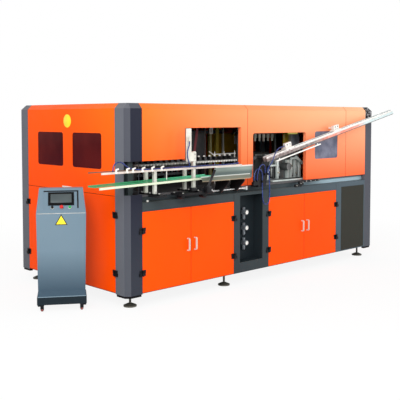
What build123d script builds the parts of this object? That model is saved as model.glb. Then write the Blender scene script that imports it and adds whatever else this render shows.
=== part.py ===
from build123d import *
import math
import os

os.makedirs("parts", exist_ok=True)

# Housing: overall size, corner chamfer, top bevel and sheet thickness
length = 4380
width = 2100
height = 2100
hull_bottom = 142
corner_chamfer = 48
top_bevel = 54
sheet = 3
seam = 3
post_width = 196
post_return = 56
post_cap_drop = 24
post_cap_inset = 8
cover_depth = 45
flange_depth = 80
running_gap = 0.3
shaft_gap = 0.1

# Levels above the floor
door_bottom = 150
front_door_top = 989
apron_top = 1086
end_door_top = 1151
deck_top = 1165

# Levelling feet
foot_inset = 150
middle_foot_x = 1534
pad_diameter = 138
pad_height = 14
pad_cone_height = 34
stem_diameter = 24
nut_diameter = 42
nut_height = 18

# Welded bed frame and bed plate
tube = 60
frame_inset = 60
sill_width = 130
deck_thickness = 25
deck_front_inset = 40
deck_end_inset = 90
upright_offsets = (15, 27, 27)

# Front openings and windows of the upper covers
opening_radius = 12
window_radius = 30
cover_seams = [1770, 3720]
left_bay_right = 787
left_bay_top = 1510
transfer_window = (787, 1660)
transfer_window_top = 1843
clamp_window = (1864, 2862)
clamp_window_top = 1770
front_pane = (3045, 3535)
front_pane_levels = (1422, 1777)
end_panes = [(427, 965), (1150, 1680)]
end_pane_levels = (1415, 1791)
pane_lap = 18
pane_thickness = 5
post_notch_levels = (1170, 1510)

# Lower doors: front leaves, end leaves, handles and hinges
door_depth = 22
front_leaves = [(196, 873), (873, 1545), (2151, 2835), (2835, 3513)]
end_leaves = [(196, 1051), (1051, 1904)]
handle_offset = 52
handle_level = 585
handle_height = 140
handle_reach = 40
handle_thickness = 12
handle_width = 16
hinge_from_bottom = 210
hinge_from_top = 192
hinge_axis_out = 12
hinge_block = 16
hinge_height = 64
hinge_leaf = 44
hinge_leaf_thickness = 4
hinge_pin_diameter = 8

# Utility section with its recess, and the section with the vent mesh
utility_span = (1545, 2151)
recess_span = (1647, 2043)
recess_levels = (266, 1050)
recess_depth = 150
regulator_x = 1845
regulator_levels = [467, 647, 832]
regulator_body = 46
gauge_diameter = 62
gauge_depth = 26
knob_size = (36, 34)
bowl_height = 70
bowl_radii = (14, 19)
vent_span = (3513, 4184)
vent_window = (3648, 4140)
vent_window_levels = (165, 1006)
vent_rows = 20
vent_columns = 5

# Air tank in the lower cabinet
tank_diameter = 420
tank_length = 1050
tank_x = 2832
tank_y = 760
tank_z = 480
saddle_size = (40, 300)
cross_bar = (60, 8)

# Cavities: pitch, number and the line they stand on
pitch = 84
cavities = 6
first_cavity_x = 2478
cavity_y = 600

# Clamp: platens, tie bars and moulds
platen_span = (2352, 3024)
platen_levels = (1180, 1495)
platen_thickness = 40
fixed_platens_y = (250, 910)
moving_platen = 30
mould_depth = 80
mould_levels = (1205, 1465)
mould_margin = 50
mould_open_gap = 160
mould_closed_gap = 0.6
tie_bar_diameter = 40
tie_bar_inset = 40
clamp_rod_diameter = 30
clamp_cylinder_diameter = 96
clamp_cylinder_length = 120
cavity_diameter = 60
cavity_neck_diameter = 30
cavity_shoulder = 70
base_plate_thickness = 15
clamp_base_margin = 40
cylinder_wall = 10
tie_nut = 20
base_strip_inset = 45
puck_gap = 1
platen_drop = 5
puck_diameter = 50

# Blow head and stretch beam on their columns
column_diameter = 40
column_outset = 34
column_spread = 160
top_plate_levels = (2010, 2035)
blow_plate_levels = (1745, 1770)
nozzle_tip = 1648
nozzle_step = 1690
nozzle_diameter = 44
nozzle_tip_diameter = 28
nozzle_bore = 10
stretch_beam_levels = (1960, 1985)
stretch_rod_diameter = 8
stretch_rod_tip = 1690
head_plate_half_depth = 110

# Transfer rail and gripper bar
rail_span = (240, 2260)
rail_y = (300, 340)
rail_levels = (1435, 1475)
rail_legs_x = [300, 1230, 2180]
rail_leg = 50
rail_leg_foot = (100, 100, 12)
bar_span = (240, 1760)
bar_y = (215, 245)
bar_levels = (1440, 1470)
grippers = 18
gripper_plate = (52, 85, 16)
gripper_slot = (30, 50)
gripper_rise = 6
gripper_body = (34, 48, 42)
carriage_length = 110
carriage_wall = 12

# Oven: loop of spindles between lamp banks
loop_x = (700, 2000)
loop_y = (1000, 1600)
loop_track_width = 60
loop_level = 1250
loop_thickness = 25
spindle_base = (44, 60)
spindle_mandrel = (24, 70)
oven_span = (760, 1900)
bank_depth = 80
bank_gap = 70
bank_levels = (1330, 1750)
hood_thickness = 40
lamp_diameter = 14
lamp_rows = 6
lamp_margin = 30
bank_wall = 20
loop_leg = 40
service_columns = [(1923, 1943), (2011, 2051), (2122, 2181), (2250, 2274)]
service_column_y = (880, 900)
amber_panes = [(2290, 2850), (3590, 3820)]
amber_y = 1200
amber_levels = (1440, 1740)
amber_leg = 30
amber_leg_inset = 70

# Bottle outlet conveyor
stand_x = [277, 816]
stand_front_y = -100
stand_rear_y = 40
stand_tube = 34
stand_top = 1428
tall_stand_top = 1594
foot_bar = (44, 340, 15)
foot_bar_y = (-205, 135)
neck_rail_span = (-395, 1538)
rear_rail_start = -449
neck_rail_height = 20
rear_rail_height = 10
neck_rail_thickness = 12
channel_span = (-450, 1093)
channel_left_level = 1285
channel_slope = 1.07
channel_floor = 8
channel_upstand = 8
channel_rail_height = 22
channel_rail_setback = 30
mast_span = (690, 764)
mast_top = 1839
mast_thickness = 8
mast_lap = (104, 6)
sensor_size = (30, 22, 45)
sensor_drop = 90
rod_span = (1100, 1765)
rod_y = -25
rod_level = 1139
rod_diameter = 16
rod_clamp = (40, 82, 44)

# Bottle trough
trough_front = (815, 1580)
trough_rear = (1260, 1860)
trough_profile = [(-205, 1325), (-183, 1268), (-75, 1268), (-8, 1405)]
trough_bracket_x = [1275, 1520]
trough_bracket_thickness = 12
strut_drop = 25
strut_below_rod = 24
strut_overhang = 95
strut_back_y = -14

# Preform chute: straight incline in front of the covers
chute_start = (1960, 1491)
chute_angle = 12.0
chute_length = 2778
chute_y = -100
chute_gap = 46
chute_plate = 6
chute_height = 62
chute_cover_start = 560
chute_spacers = 8
spacer_diameter = 12
spacer_rise = 8
chute_cover_levels = (-12, -6)
lower_rail_span = (165, 1040)
lower_rail_drop = 33
lower_rail_section = (20, 14)
lower_rail_hangers = (16, 60)
sensor_clamps = [430, 1420]
sensor_clamp_size = (150, 78, 72)
sensor_clamp_base = 14
sensor_head = (110, 36)
chute_arm = (32, 22, 46)
chute_bracket_x = (1880, 2010)
chute_bracket_thickness = 12
fitting_places = [(1942, 1190), (1990, 1275), (2030, 1275), (2058, 1360)]
fitting_size = (20, 26)
valve_block_start = 1776
valve_block_height = 41
valve_ports = [1800, 1850]
valve_port_size = (20, 16)

# Air hoses
hose_diameter = 12

# Console, built square to its own front and then turned towards the operator
console_x = -478
console_y = 453
console_turn = -33
console_base = 74
console_skirt_top = 150
console_waist = 210
console_shoulder = 995
console_top = 1232
skirt_width = 492
waist_width = 468
shoulder_width = 492
top_width = 440
console_depth = 280
skirt_lip = 5
head_setback = 180
screen_size = (258, 152, 9)
screen_level = 170
recess_plate = (350, 224, 4)
recess_from = 46
screen_glass = (214, 108, 3)
screen_glass_rise = 4
button_offsets = [-87, 4, 86]
button_level = 70
button_hole = 23
button_gap = 0.3
button_pocket = 30
selector_bar = (8, 24, 9)
stop_cap_diameter = 40
stop_cap_height = 16
push_cap_diameter = 28
push_cap_height = 7
button_travel = 5
castor_offset = 197
castor_inset = 44
wheel_diameter = 50
wheel_width = 22
axle_diameter = 8
fork_plate = 4
fork_gap = 1
fork_depth = 36
fork_bottom = 14
fork_bridge = 8


def block(x, y, z):
    """Box between two x, two y and two z places."""
    size = Box(x[1] - x[0], y[1] - y[0], z[1] - z[0])
    return Pos((x[0] + x[1]) / 2, (y[0] + y[1]) / 2, (z[0] + z[1]) / 2) * size


def bar(start, end, diameter):
    """Round bar between two points."""
    start = Vector(*start)
    run = Vector(*end) - start
    return Plane(start, z_dir=run) * extrude(Circle(diameter / 2), run.length)


def prism(start_z, x, y, size, sides):
    """Upright prism of some sides, size is its diameter and height."""
    shape = RegularPolygon(size[0] / 2, sides)
    return Pos(x, y, start_z) * extrude(shape, size[1])


def front_hole(x, z, y, radius, grow=0):
    """Rounded rectangle through a front or rear sheet."""
    shape = RectangleRounded(x[1] - x[0] + 2 * grow, z[1] - z[0] + 2 * grow, radius + grow)
    place = Plane(((x[0] + x[1]) / 2, y[0], (z[0] + z[1]) / 2), x_dir=(1, 0, 0), z_dir=(0, 1, 0))
    return place * extrude(shape, y[1] - y[0])


def end_hole(y, z, x, radius, grow=0):
    """Rounded rectangle through an end sheet."""
    shape = RectangleRounded(y[1] - y[0] + 2 * grow, z[1] - z[0] + 2 * grow, radius + grow)
    place = Plane((x[0], (y[0] + y[1]) / 2, (z[0] + z[1]) / 2), x_dir=(0, 1, 0), z_dir=(1, 0, 0))
    return place * extrude(shape, x[1] - x[0])


def save(name, *pieces):
    """Writes one node, moved so that the front left foot stands on the origin."""
    place = Pos(-foot_inset, -foot_inset, 0)
    solids = []
    for piece in pieces:
        solids += (place * piece).solids()
    shape = solids[0] if len(solids) == 1 else Compound(children=solids)
    shape.label = name
    export_step(shape, f"parts/{name}.step")


def hull(inset):
    """Outer form of the closed housing, or the same form inset by a wall."""
    leg_loss = inset * (2 - math.sqrt(2))
    outline = Rectangle(length - 2 * inset, width - 2 * inset)
    outline = chamfer(outline.vertices(), corner_chamfer - leg_loss)
    body = Pos(length / 2, width / 2, hull_bottom) * extrude(outline, height - inset - hull_bottom)
    top = body.faces().sort_by(Axis.Z)[-1]
    return chamfer(top.edges(), top_bevel - leg_loss)


outer_hull = hull(0)
inner_hull = hull(sheet)


def region(x, y, z, side, depth):
    """Part of the housing's skin zone behind one side, as deep as given."""
    if side == "front":
        y = (0, depth)
    if side == "rear":
        y = (width - depth, width)
    if side == "left":
        x = (0, depth)
    if side == "right":
        x = (length - depth, length)
    return block(x, y, z)


def cover(side, span, z, holes=(), rims=()):
    """Folded cover: outer skin, returns on its edges, and rims round its holes."""
    inside = (span[0] + sheet, span[1] - sheet)
    shoulder = (height - top_bevel - sheet, height)
    zone = region(span, span, z, side, cover_depth)
    zone += region(span, span, shoulder, side, flange_depth)
    hollow = region(inside, inside, (z[0] + sheet, height), side, flange_depth + sheet)
    behind = region(span, span, shoulder, side, flange_depth + sheet)
    hollow += behind - region(span, span, shoulder, side, cover_depth)
    outer = outer_hull & zone
    shape = outer - (inner_hull & hollow)
    for rim in rims:
        shape += outer & rim
    for hole in holes:
        shape -= hole
    return shape


def tray(x, y, z, open_side):
    """Shallow folded pan, open at the back."""
    inner_x = (x[0] + sheet, x[1] - sheet)
    inner_y = (y[0] + sheet, y[1] - sheet)
    if open_side == "rear":
        inner_y = (y[0] + sheet, y[1] + sheet)
    if open_side == "front":
        inner_y = (y[0] - sheet, y[1] - sheet)
    if open_side == "right":
        inner_x = (x[0] + sheet, x[1] + sheet)
    return block(x, y, z) - block(inner_x, inner_y, (z[0] + sheet, z[1] - sheet))


# Bed frame: sills, uprights, bed rails and top ring of square tube, with the two front aprons
near = frame_inset
far_x = length - frame_inset
far_y = width - frame_inset
sill_top = door_bottom + tube
bed_rail = (deck_top - deck_thickness - tube, deck_top - deck_thickness)
top_ring = (height - sheet - tube, height - sheet)
upright_x = [
    near,
    utility_span[0] + upright_offsets[0],
    recess_span[1] + upright_offsets[1],
    vent_span[0] + upright_offsets[2],
    far_x - tube,
]
column_x = (transfer_window[1] + clamp_window[0] - tube) / 2


def ring(z, section):
    """Rectangle of four members, as wide as the section."""
    outer = block((near, far_x), (near, far_y), z)
    return outer - block((near + section, far_x - section), (near + section, far_y - section), z)


base_frame = ring((door_bottom, sill_top), sill_width)
base_frame += ring(bed_rail, tube)
base_frame += ring(top_ring, tube)
for x in upright_x:
    for y in [near, far_y - tube]:
        base_frame += block((x, x + tube), (y, y + tube), (sill_top, bed_rail[0]))
for x in upright_x[1:-1]:
    base_frame += block((x, x + tube), (near + tube, far_y - tube), bed_rail)
    base_frame += block((x, x + tube), (near + sill_width, far_y - sill_width), (door_bottom, sill_top))
for x in [near, column_x, far_x - tube]:
    for y in [near, far_y - tube]:
        base_frame += block((x, x + tube), (y, y + tube), (bed_rail[1], top_ring[0]))
apron_spans = [(post_width, utility_span[0]), (utility_span[1], vent_span[0])]
for span in apron_spans:
    apron_x = (span[0] + seam, span[1] - seam)
    base_frame += tray(apron_x, (0, near + sheet), (front_door_top + seam, apron_top), "rear")
save("base_frame", base_frame)

# Bed plate: rests on the bed rails, cut out at the posts and round the frame's columns
deck = block(
    (deck_end_inset, length - deck_end_inset),
    (deck_front_inset, width - deck_front_inset),
    (deck_top - deck_thickness, deck_top),
)
corner_cut = post_width + seam
for x in [(0, corner_cut), (length - corner_cut, length)]:
    for y in [(0, corner_cut), (width - corner_cut, width)]:
        deck -= block(x, y, (deck_top - deck_thickness, deck_top))
for y in [near, far_y - tube]:
    pocket_x = (column_x - running_gap, column_x + tube + running_gap)
    pocket_y = (y - running_gap, y + tube + running_gap)
    deck -= block(pocket_x, pocket_y, (deck_top - deck_thickness, deck_top))
save("bed_plate", deck)

# Levelling feet: round pad with a cone, threaded stem and lock nut under the sill
foot_profile = Polyline(
    (0, 0),
    (pad_diameter / 2, 0),
    (pad_diameter / 2, pad_height),
    (stem_diameter, pad_cone_height),
    (stem_diameter / 2, pad_cone_height),
    (stem_diameter / 2, door_bottom),
    (0, door_bottom),
    close=True,
)
foot = revolve(Plane.XZ * make_face(foot_profile), Axis.Z)
foot += prism(door_bottom - nut_height, 0, 0, (nut_diameter, nut_height), 6)
feet = []
for x in [foot_inset, middle_foot_x, length - foot_inset]:
    for y in [foot_inset, width - foot_inset]:
        feet.append(Pos(x, y, 0) * foot)
save("levelling_feet", *feet)

# Corner posts: chamfered folded sheet with returns, closed by a black cap below
post_zone = block((0, post_width), (0, post_width), (hull_bottom, height))
post_core = block((0, post_width - sheet), (0, post_width - sheet), (hull_bottom, height))
post_back = (post_return, post_width + seam)
post = (outer_hull & post_zone) - (inner_hull & post_core)
post -= block(post_back, post_back, (hull_bottom, height - sheet))
beyond_flange = (flange_depth, post_width + seam)
post -= block(beyond_flange, beyond_flange, (hull_bottom, height))
cap_points = [
    (post_width, 0),
    (corner_chamfer, 0),
    (0, corner_chamfer),
    (0, post_width),
    (post_return, post_width),
    (post_return, post_return),
    (post_width, post_return),
]
cap_face = make_face(Polyline(*cap_points, close=True))
cap_foot = offset(cap_face, -post_cap_inset, kind=Kind.INTERSECTION)
post += Pos(0, 0, hull_bottom) * extrude(cap_face, sheet)
post += Pos(0, 0, hull_bottom - post_cap_drop) * extrude(cap_foot, post_cap_drop)
notch = block((-sheet, post_width + seam), (-sheet, corner_chamfer), post_notch_levels)
save("front_left_post", post - notch)
post_right = mirror(post, Plane.YZ.offset(length / 2))
save("front_right_post", post_right)
save("rear_left_post", mirror(post, Plane.XZ.offset(-width / 2)))
save("rear_right_post", mirror(post_right, Plane.XZ.offset(-width / 2)))

# Upper front covers: left one with the open bay and transfer window, middle one, right one
through = (-sheet, cover_depth + flange_depth)
below = deck_top - 4 * opening_radius
left_edge = post_width + seam
bay = ((left_edge - cover_depth, left_bay_right), (below, left_bay_top))
work = (transfer_window, (below, transfer_window_top))
left_holes = [front_hole(*bay, through, opening_radius), front_hole(*work, through, opening_radius)]
left_rims = [
    front_hole(*bay, through, opening_radius, sheet),
    front_hole(*work, through, opening_radius, sheet),
]
left_span = (left_edge, cover_seams[0] - seam / 2)
left_cover = cover("front", left_span, (deck_top, height), left_holes, left_rims)
save("front_cover_left", left_cover)
clamp_hole = (clamp_window, (below, clamp_window_top))
pane_hole = (front_pane, front_pane_levels)
middle_holes = [
    front_hole(*clamp_hole, through, window_radius),
    front_hole(*pane_hole, through, window_radius),
]
middle_rims = [front_hole(*clamp_hole, through, window_radius, sheet)]
middle_span = (cover_seams[0] + seam / 2, cover_seams[1] - seam / 2)
save("front_cover_middle", cover("front", middle_span, (deck_top, height), middle_holes, middle_rims))
right_span = (cover_seams[1] + seam / 2, length - post_width - seam)
save("front_cover_right", cover("front", right_span, (deck_top, height)))

# End covers, rear cover and roof
end_span = (post_width + seam, width - post_width - seam)
end_holes = [end_hole(span, end_pane_levels, through, window_radius) for span in end_panes]
save("left_end_cover", cover("left", end_span, (end_door_top + seam, height), end_holes))
save("right_end_panel", cover("right", end_span, (door_bottom, height)))
rear_span = (post_width + seam, length - post_width - seam)
save("rear_cover", cover("rear", rear_span, (deck_top, height)))
rear_levels = (door_bottom, deck_top - deck_thickness - seam)
save("rear_lower_panel", tray(rear_span, (far_y, width), rear_levels, "front"))
roof_x = (flange_depth + seam, length - flange_depth - seam)
roof_y = (flange_depth + seam, width - flange_depth - seam)
save("roof_panel", block(roof_x, roof_y, (height - sheet, height)))

# Window panes: tinted sheets fixed flat behind the covers
pane_y = (sheet, sheet + pane_thickness)
panes = [front_hole(front_pane, front_pane_levels, pane_y, window_radius, pane_lap)]
for span in end_panes:
    panes.append(end_hole(span, end_pane_levels, pane_y, window_radius, pane_lap))
save("window_panes", *panes)

# Utility panel with its recess pan
utility_x = (utility_span[0] + seam, utility_span[1] - seam)
utility = tray(utility_x, (0, near), (door_bottom, apron_top), "rear")
utility -= block(recess_span, (-sheet, sheet), recess_levels)
pan_x = (recess_span[0] - sheet, recess_span[1] + sheet)
pan_z = (recess_levels[0] - sheet, recess_levels[1] + sheet)
pan = block(pan_x, (0, recess_depth + sheet), pan_z)
pan -= block(recess_span, (-sheet, recess_depth), recess_levels)
utility += pan
for x in [upright_x[1], upright_x[2]]:
    utility -= block((x - seam, x + tube + seam), (near, recess_depth), (door_bottom, apron_top))
save("utility_panel", utility)

# Air regulators: body on the recess wall, bowl below, gauge towards the operator
regulators = []
for z in regulator_levels:
    body_y = recess_depth - regulator_body
    body = block(
        (regulator_x - regulator_body / 2, regulator_x + regulator_body / 2),
        (body_y, recess_depth),
        (z - regulator_body / 2, z + regulator_body / 2),
    )
    bowl_profile = Polyline(
        (0, 0),
        (bowl_radii[0], bowl_radii[0] / 2),
        (bowl_radii[1], bowl_radii[1]),
        (bowl_radii[1], bowl_height),
        (0, bowl_height),
        close=True,
    )
    bowl = revolve(Plane.XZ * make_face(bowl_profile), Axis.Z)
    body += Pos(regulator_x, body_y + regulator_body / 2, z - regulator_body / 2 - bowl_height) * bowl
    body += bar((regulator_x, body_y - gauge_depth, z), (regulator_x, body_y, z), gauge_diameter)
    knob_z = z + regulator_body / 2
    knob_y = body_y + regulator_body / 2
    body += bar((regulator_x, knob_y, knob_z), (regulator_x, knob_y, knob_z + knob_size[1]), knob_size[0])
    regulators.append(body)
save("air_regulators", *regulators)

# Vent panel and its slotted mesh plate
vent = tray((vent_span[0] + seam, vent_span[1] - seam), (0, near), (door_bottom, apron_top), "rear")
vent -= block(vent_window, (-sheet, sheet), vent_window_levels)
for x in [upright_x[3], upright_x[4]]:
    vent -= block((x - seam, x + tube + seam), (near - sheet, near + sheet), (door_bottom, apron_top))
save("vent_panel", vent)
mesh_x = (vent_window[0] - pane_lap, vent_window[1] + pane_lap)
mesh_z = (vent_window_levels[0] - sheet, vent_window_levels[1] + pane_lap)
mesh = block(mesh_x, (sheet, 2 * sheet), mesh_z)
slot_width = (vent_window[1] - vent_window[0]) / vent_columns
slot_height = (vent_window_levels[1] - vent_window_levels[0]) / vent_rows
slots = []
for column in range(vent_columns):
    for row in range(vent_rows):
        x = vent_window[0] + column * slot_width
        z = vent_window_levels[0] + row * slot_height
        slot_x = (x + 0.08 * slot_width, x + 0.92 * slot_width)
        slots.append(block(slot_x, (sheet, 2 * sheet), (z + 0.3 * slot_height, z + 0.7 * slot_height)))
save("vent_mesh", mesh - slots)

# Lower doors: folded leaf, bow handle and the lift-off hinge halves that turn with it
handle_outline = Rectangle(2 * handle_reach, handle_height)
handle_outline = fillet(handle_outline.vertices(), handle_thickness * 1.5)
handle_outline -= Rectangle(2 * (handle_reach - handle_thickness), handle_height - 2 * handle_thickness)
bow = extrude(Plane.YZ * handle_outline, handle_width / 2, both=True)
bow &= block((-handle_width, handle_width), (-handle_reach, 0), (-handle_height, handle_height))
half = hinge_block / 2
moving_knuckle = block((-half, half), (-half, half), (shaft_gap, hinge_height / 2))
moving_knuckle += block(
    (half, hinge_leaf),
    (hinge_axis_out - hinge_leaf_thickness, hinge_axis_out),
    (shaft_gap, hinge_height / 2),
)
knuckle_out = (0, hinge_axis_out - running_gap)
moving_knuckle += block((0, hinge_leaf / 2), knuckle_out, (shaft_gap, hinge_height / 2))
moving_knuckle -= extrude(Circle(hinge_pin_diameter / 2 + shaft_gap), hinge_height / 2)
fixed_knuckle = block((-half, half), (-half, half), (-hinge_height / 2, 0))
fixed_knuckle += block((-hinge_leaf, 0), (0, hinge_axis_out), (-hinge_height / 2, 0))
fixed_knuckle += extrude(Circle(hinge_pin_diameter / 2), hinge_height / 2 - 2 * shaft_gap)


def front_leaf(span, hinge_on_left):
    """One front door leaf with its handle and moving hinge halves."""
    x = (span[0] + seam, span[1] - seam / 2)
    if not hinge_on_left:
        x = (span[0] + seam / 2, span[1] - seam)
    leaf = tray(x, (0, door_depth), (door_bottom, front_door_top), "rear")
    if hinge_on_left:
        leaf += Pos(span[1] - handle_offset, 0, handle_level) * bow
    else:
        leaf += Pos(span[0] + handle_offset, 0, handle_level) * bow
    for z in [door_bottom + hinge_from_bottom, front_door_top - hinge_from_top]:
        half_hinge = moving_knuckle if hinge_on_left else mirror(moving_knuckle, Plane.YZ)
        leaf += Pos(span[0] if hinge_on_left else span[1], -hinge_axis_out, z) * half_hinge
    return leaf


def front_hinges(x, hinge_on_left):
    """Fixed hinge halves with their pins for one front leaf."""
    half_hinge = fixed_knuckle if hinge_on_left else mirror(fixed_knuckle, Plane.YZ)
    levels = [door_bottom + hinge_from_bottom, front_door_top - hinge_from_top]
    return [Pos(x, -hinge_axis_out, z) * half_hinge for z in levels]


hinges = []
for index, span in enumerate(front_leaves):
    on_left = index % 2 == 0
    save(f"front_door_{index + 1}", front_leaf(span, on_left))
    hinges += front_hinges(span[0] if on_left else span[1], on_left)

# End doors: the same leaf, taller, turned to face the left end
turn_to_end = Rot(0, 0, -90)
for index, span in enumerate(end_leaves):
    hinge_first = index == 0
    y = (span[0] + seam, span[1] - seam / 2) if hinge_first else (span[0] + seam / 2, span[1] - seam)
    leaf = tray((0, door_depth), y, (door_bottom, end_door_top), "right")
    handle_y = span[1] - handle_offset if hinge_first else span[0] + handle_offset
    leaf += Pos(0, handle_y, handle_level) * turn_to_end * bow
    hinge_y = span[0] if hinge_first else span[1]
    moving = mirror(moving_knuckle, Plane.YZ) if hinge_first else moving_knuckle
    fixed = mirror(fixed_knuckle, Plane.YZ) if hinge_first else fixed_knuckle
    for z in [door_bottom + hinge_from_bottom, end_door_top - hinge_from_top]:
        leaf += Pos(-hinge_axis_out, hinge_y, z) * turn_to_end * moving
        hinges.append(Pos(-hinge_axis_out, hinge_y, z) * turn_to_end * fixed)
    save("end_door_front" if hinge_first else "end_door_rear", leaf)
save("hinge_blocks", *hinges)

# Air tank: welded shell with domed ends on two saddles that stand on the sills
dome = tank_diameter / 6
tank_ends = (tank_x - tank_length / 2, tank_x + tank_length / 2)
tank = bar((tank_ends[0], tank_y, tank_z), (tank_ends[1], tank_y, tank_z), tank_diameter)
tank = fillet(tank.edges().filter_by(GeomType.CIRCLE), dome)
for x in [tank_x - tank_length / 4, tank_x + tank_length / 4]:
    saddle_x = (x - saddle_size[0] / 2, x + saddle_size[0] / 2)
    saddle_y = (tank_y - saddle_size[1] / 2, tank_y + saddle_size[1] / 2)
    tank += block(saddle_x, saddle_y, (sill_top, tank_z))
    bar_x = (x - cross_bar[0] / 2, x + cross_bar[0] / 2)
    bar_z = (sill_top - cross_bar[1], sill_top)
    tank += block(bar_x, (near + sill_width, far_y - sill_width), bar_z)
save("air_tank", tank)

# Clamp: base plate, two fixed platens with cylinders, tie bars, and the head's columns and top plate
cavity_x = [first_cavity_x + pitch * index for index in range(cavities)]
mould_span = (cavity_x[0] - mould_margin, cavity_x[-1] + mould_margin)
mould_middle = (mould_span[0] + mould_span[1]) / 2
fixed_far = fixed_platens_y[1] + platen_thickness
base_top = deck_top + base_plate_thickness
tie_places = []
for x in [platen_span[0] + tie_bar_inset, platen_span[1] - tie_bar_inset]:
    for z in [platen_levels[0] + tie_bar_inset, platen_levels[1] - tie_bar_inset]:
        tie_places.append((x, z))
column_places = []
for x in [platen_span[0] - column_outset, platen_span[1] + column_outset]:
    for y in [cavity_y - column_spread / 2, cavity_y + column_spread / 2]:
        column_places.append((x, y))
head_x = (column_places[0][0] - column_diameter, column_places[-1][0] + column_diameter)
head_y = (cavity_y - head_plate_half_depth, cavity_y + head_plate_half_depth)
clamp_level = (mould_levels[0] + mould_levels[1]) / 2
rod_inside = clamp_cylinder_length - 2 * cylinder_wall
clamp_base_y = (fixed_platens_y[0] - clamp_base_margin, fixed_far + clamp_base_margin)
clamp = block(head_x, clamp_base_y, (deck_top, base_top))
for y in fixed_platens_y:
    clamp += block(platen_span, (y, y + platen_thickness), (base_top, platen_levels[1]))
for x, z in tie_places:
    clamp += bar((x, fixed_platens_y[0] - tie_nut, z), (x, fixed_far + tie_nut, z), tie_bar_diameter)
bore = clamp_rod_diameter + 2 * shaft_gap
front_end = fixed_platens_y[0] - clamp_cylinder_length
rear_end = fixed_far + clamp_cylinder_length
for cylinder in [(front_end, fixed_platens_y[0]), (fixed_far, rear_end)]:
    near_end = (mould_middle, cylinder[0], clamp_level)
    far_end = (mould_middle, cylinder[1], clamp_level)
    clamp += bar(near_end, far_end, clamp_cylinder_diameter)
bore_start = (mould_middle, front_end + cylinder_wall, clamp_level)
bore_end = (mould_middle, rear_end - cylinder_wall, clamp_level)
clamp -= bar(bore_start, bore_end, bore)
for x, y in column_places:
    clamp += bar((x, y, deck_top), (x, y, top_plate_levels[0]), column_diameter)
clamp += block(head_x, head_y, top_plate_levels)
save("clamp_frame", clamp)

# Mould halves: moving platen on the tie bars, mould block with half cavities, piston rod
mould_face = cavity_y - mould_open_gap / 2
mould_stroke = (mould_open_gap - mould_closed_gap) / 2
closed_line = mould_face + mould_closed_gap / 2
mould_back = mould_face - mould_depth
platen_back = mould_back - moving_platen
platen_z = (base_top + running_gap, platen_levels[1] - platen_drop)
front_mould = block(platen_span, (platen_back, mould_back), platen_z)
for x, z in tie_places:
    front_mould -= bar((x, platen_back, z), (x, mould_back, z), tie_bar_diameter + 2 * shaft_gap)
front_mould += block(mould_span, (mould_back, mould_face), mould_levels)
neck_level = mould_levels[1] - cavity_shoulder / 3
body_top = mould_levels[1] - cavity_shoulder
cavity_profile = Polyline(
    (0, mould_levels[0]),
    (cavity_diameter / 2, mould_levels[0]),
    (cavity_diameter / 2, body_top),
    (cavity_neck_diameter / 2, neck_level),
    (cavity_neck_diameter / 2, mould_levels[1]),
    (0, mould_levels[1]),
    close=True,
)
cavity = revolve(Plane.XZ * make_face(cavity_profile), Axis.Z)
for x in cavity_x:
    front_mould -= Pos(x, closed_line, 0) * cavity
rod_end = fixed_platens_y[0] - rod_inside
rod_start = (mould_middle, rod_end, clamp_level)
front_mould += bar(rod_start, (mould_middle, platen_back, clamp_level), clamp_rod_diameter)
save("front_mould", front_mould)
save("rear_mould", mirror(front_mould, Plane.XZ.offset(-cavity_y)))

# Base mould: strip with one round puck under each cavity
puck_top = mould_levels[0] - puck_gap
strip_top = (base_top + puck_top) / 2
strip_half = mould_open_gap / 2 - base_strip_inset
strip_y = (cavity_y - strip_half, cavity_y + strip_half)
base_mould = block(mould_span, strip_y, (base_top + running_gap, strip_top))
for x in cavity_x:
    base_mould += bar((x, cavity_y, strip_top), (x, cavity_y, puck_top), puck_diameter)
save("base_mould", base_mould)

# Blow head and stretch beam: plates that run on the columns, nozzles and stretch rods
blow_head = block(head_x, head_y, blow_plate_levels)
for x in cavity_x:
    blow_head += bar((x, cavity_y, nozzle_step), (x, cavity_y, blow_plate_levels[0]), nozzle_diameter)
    blow_head += bar((x, cavity_y, nozzle_tip), (x, cavity_y, nozzle_step), nozzle_tip_diameter)
    blow_head -= bar((x, cavity_y, nozzle_tip), (x, cavity_y, blow_plate_levels[1]), nozzle_bore)
stretch_beam = block(head_x, head_y, stretch_beam_levels)
for x in cavity_x:
    rod_top = stretch_beam_levels[0]
    stretch_beam += bar((x, cavity_y, stretch_rod_tip), (x, cavity_y, rod_top), stretch_rod_diameter)
for x, y in column_places:
    guide = column_diameter + 2 * shaft_gap
    blow_head -= bar((x, y, blow_plate_levels[0]), (x, y, blow_plate_levels[1]), guide)
    stretch_beam -= bar((x, y, stretch_beam_levels[0]), (x, y, stretch_beam_levels[1]), guide)
save("blow_head", blow_head)
save("stretch_beam", stretch_beam)

# Transfer rail on legs, and the gripper bar that runs on it
rail_middle = (rail_y[0] + rail_y[1]) / 2
transfer_rail = block(rail_span, rail_y, rail_levels)
for x in rail_legs_x:
    transfer_rail += block((x - rail_leg / 2, x + rail_leg / 2), rail_y, (deck_top, rail_levels[0]))
    foot_y = (rail_middle - rail_leg_foot[1] / 2, rail_middle + rail_leg_foot[1] / 2)
    foot_x = (x - rail_leg_foot[0] / 2, x + rail_leg_foot[0] / 2)
    transfer_rail += block(foot_x, foot_y, (deck_top, deck_top + rail_leg_foot[2]))
save("transfer_rail", transfer_rail)
fork = Rectangle(gripper_plate[0], gripper_plate[1])
slot_end = -gripper_plate[1] / 2 + gripper_slot[1] / 2
fork -= Pos(0, slot_end) * Rectangle(gripper_slot[0], gripper_slot[1])
fork = chamfer(fork.vertices().sort_by(Axis.Y)[:4], 4)
jaw = extrude(fork, gripper_plate[2])
gripper_bar = block(bar_span, bar_y, bar_levels)
first_gripper = bar_span[0] + pitch / 2
bar_overlap = rail_y[0] - (bar_y[0] + bar_y[1]) / 2 - gripper_body[1] / 2
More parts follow.
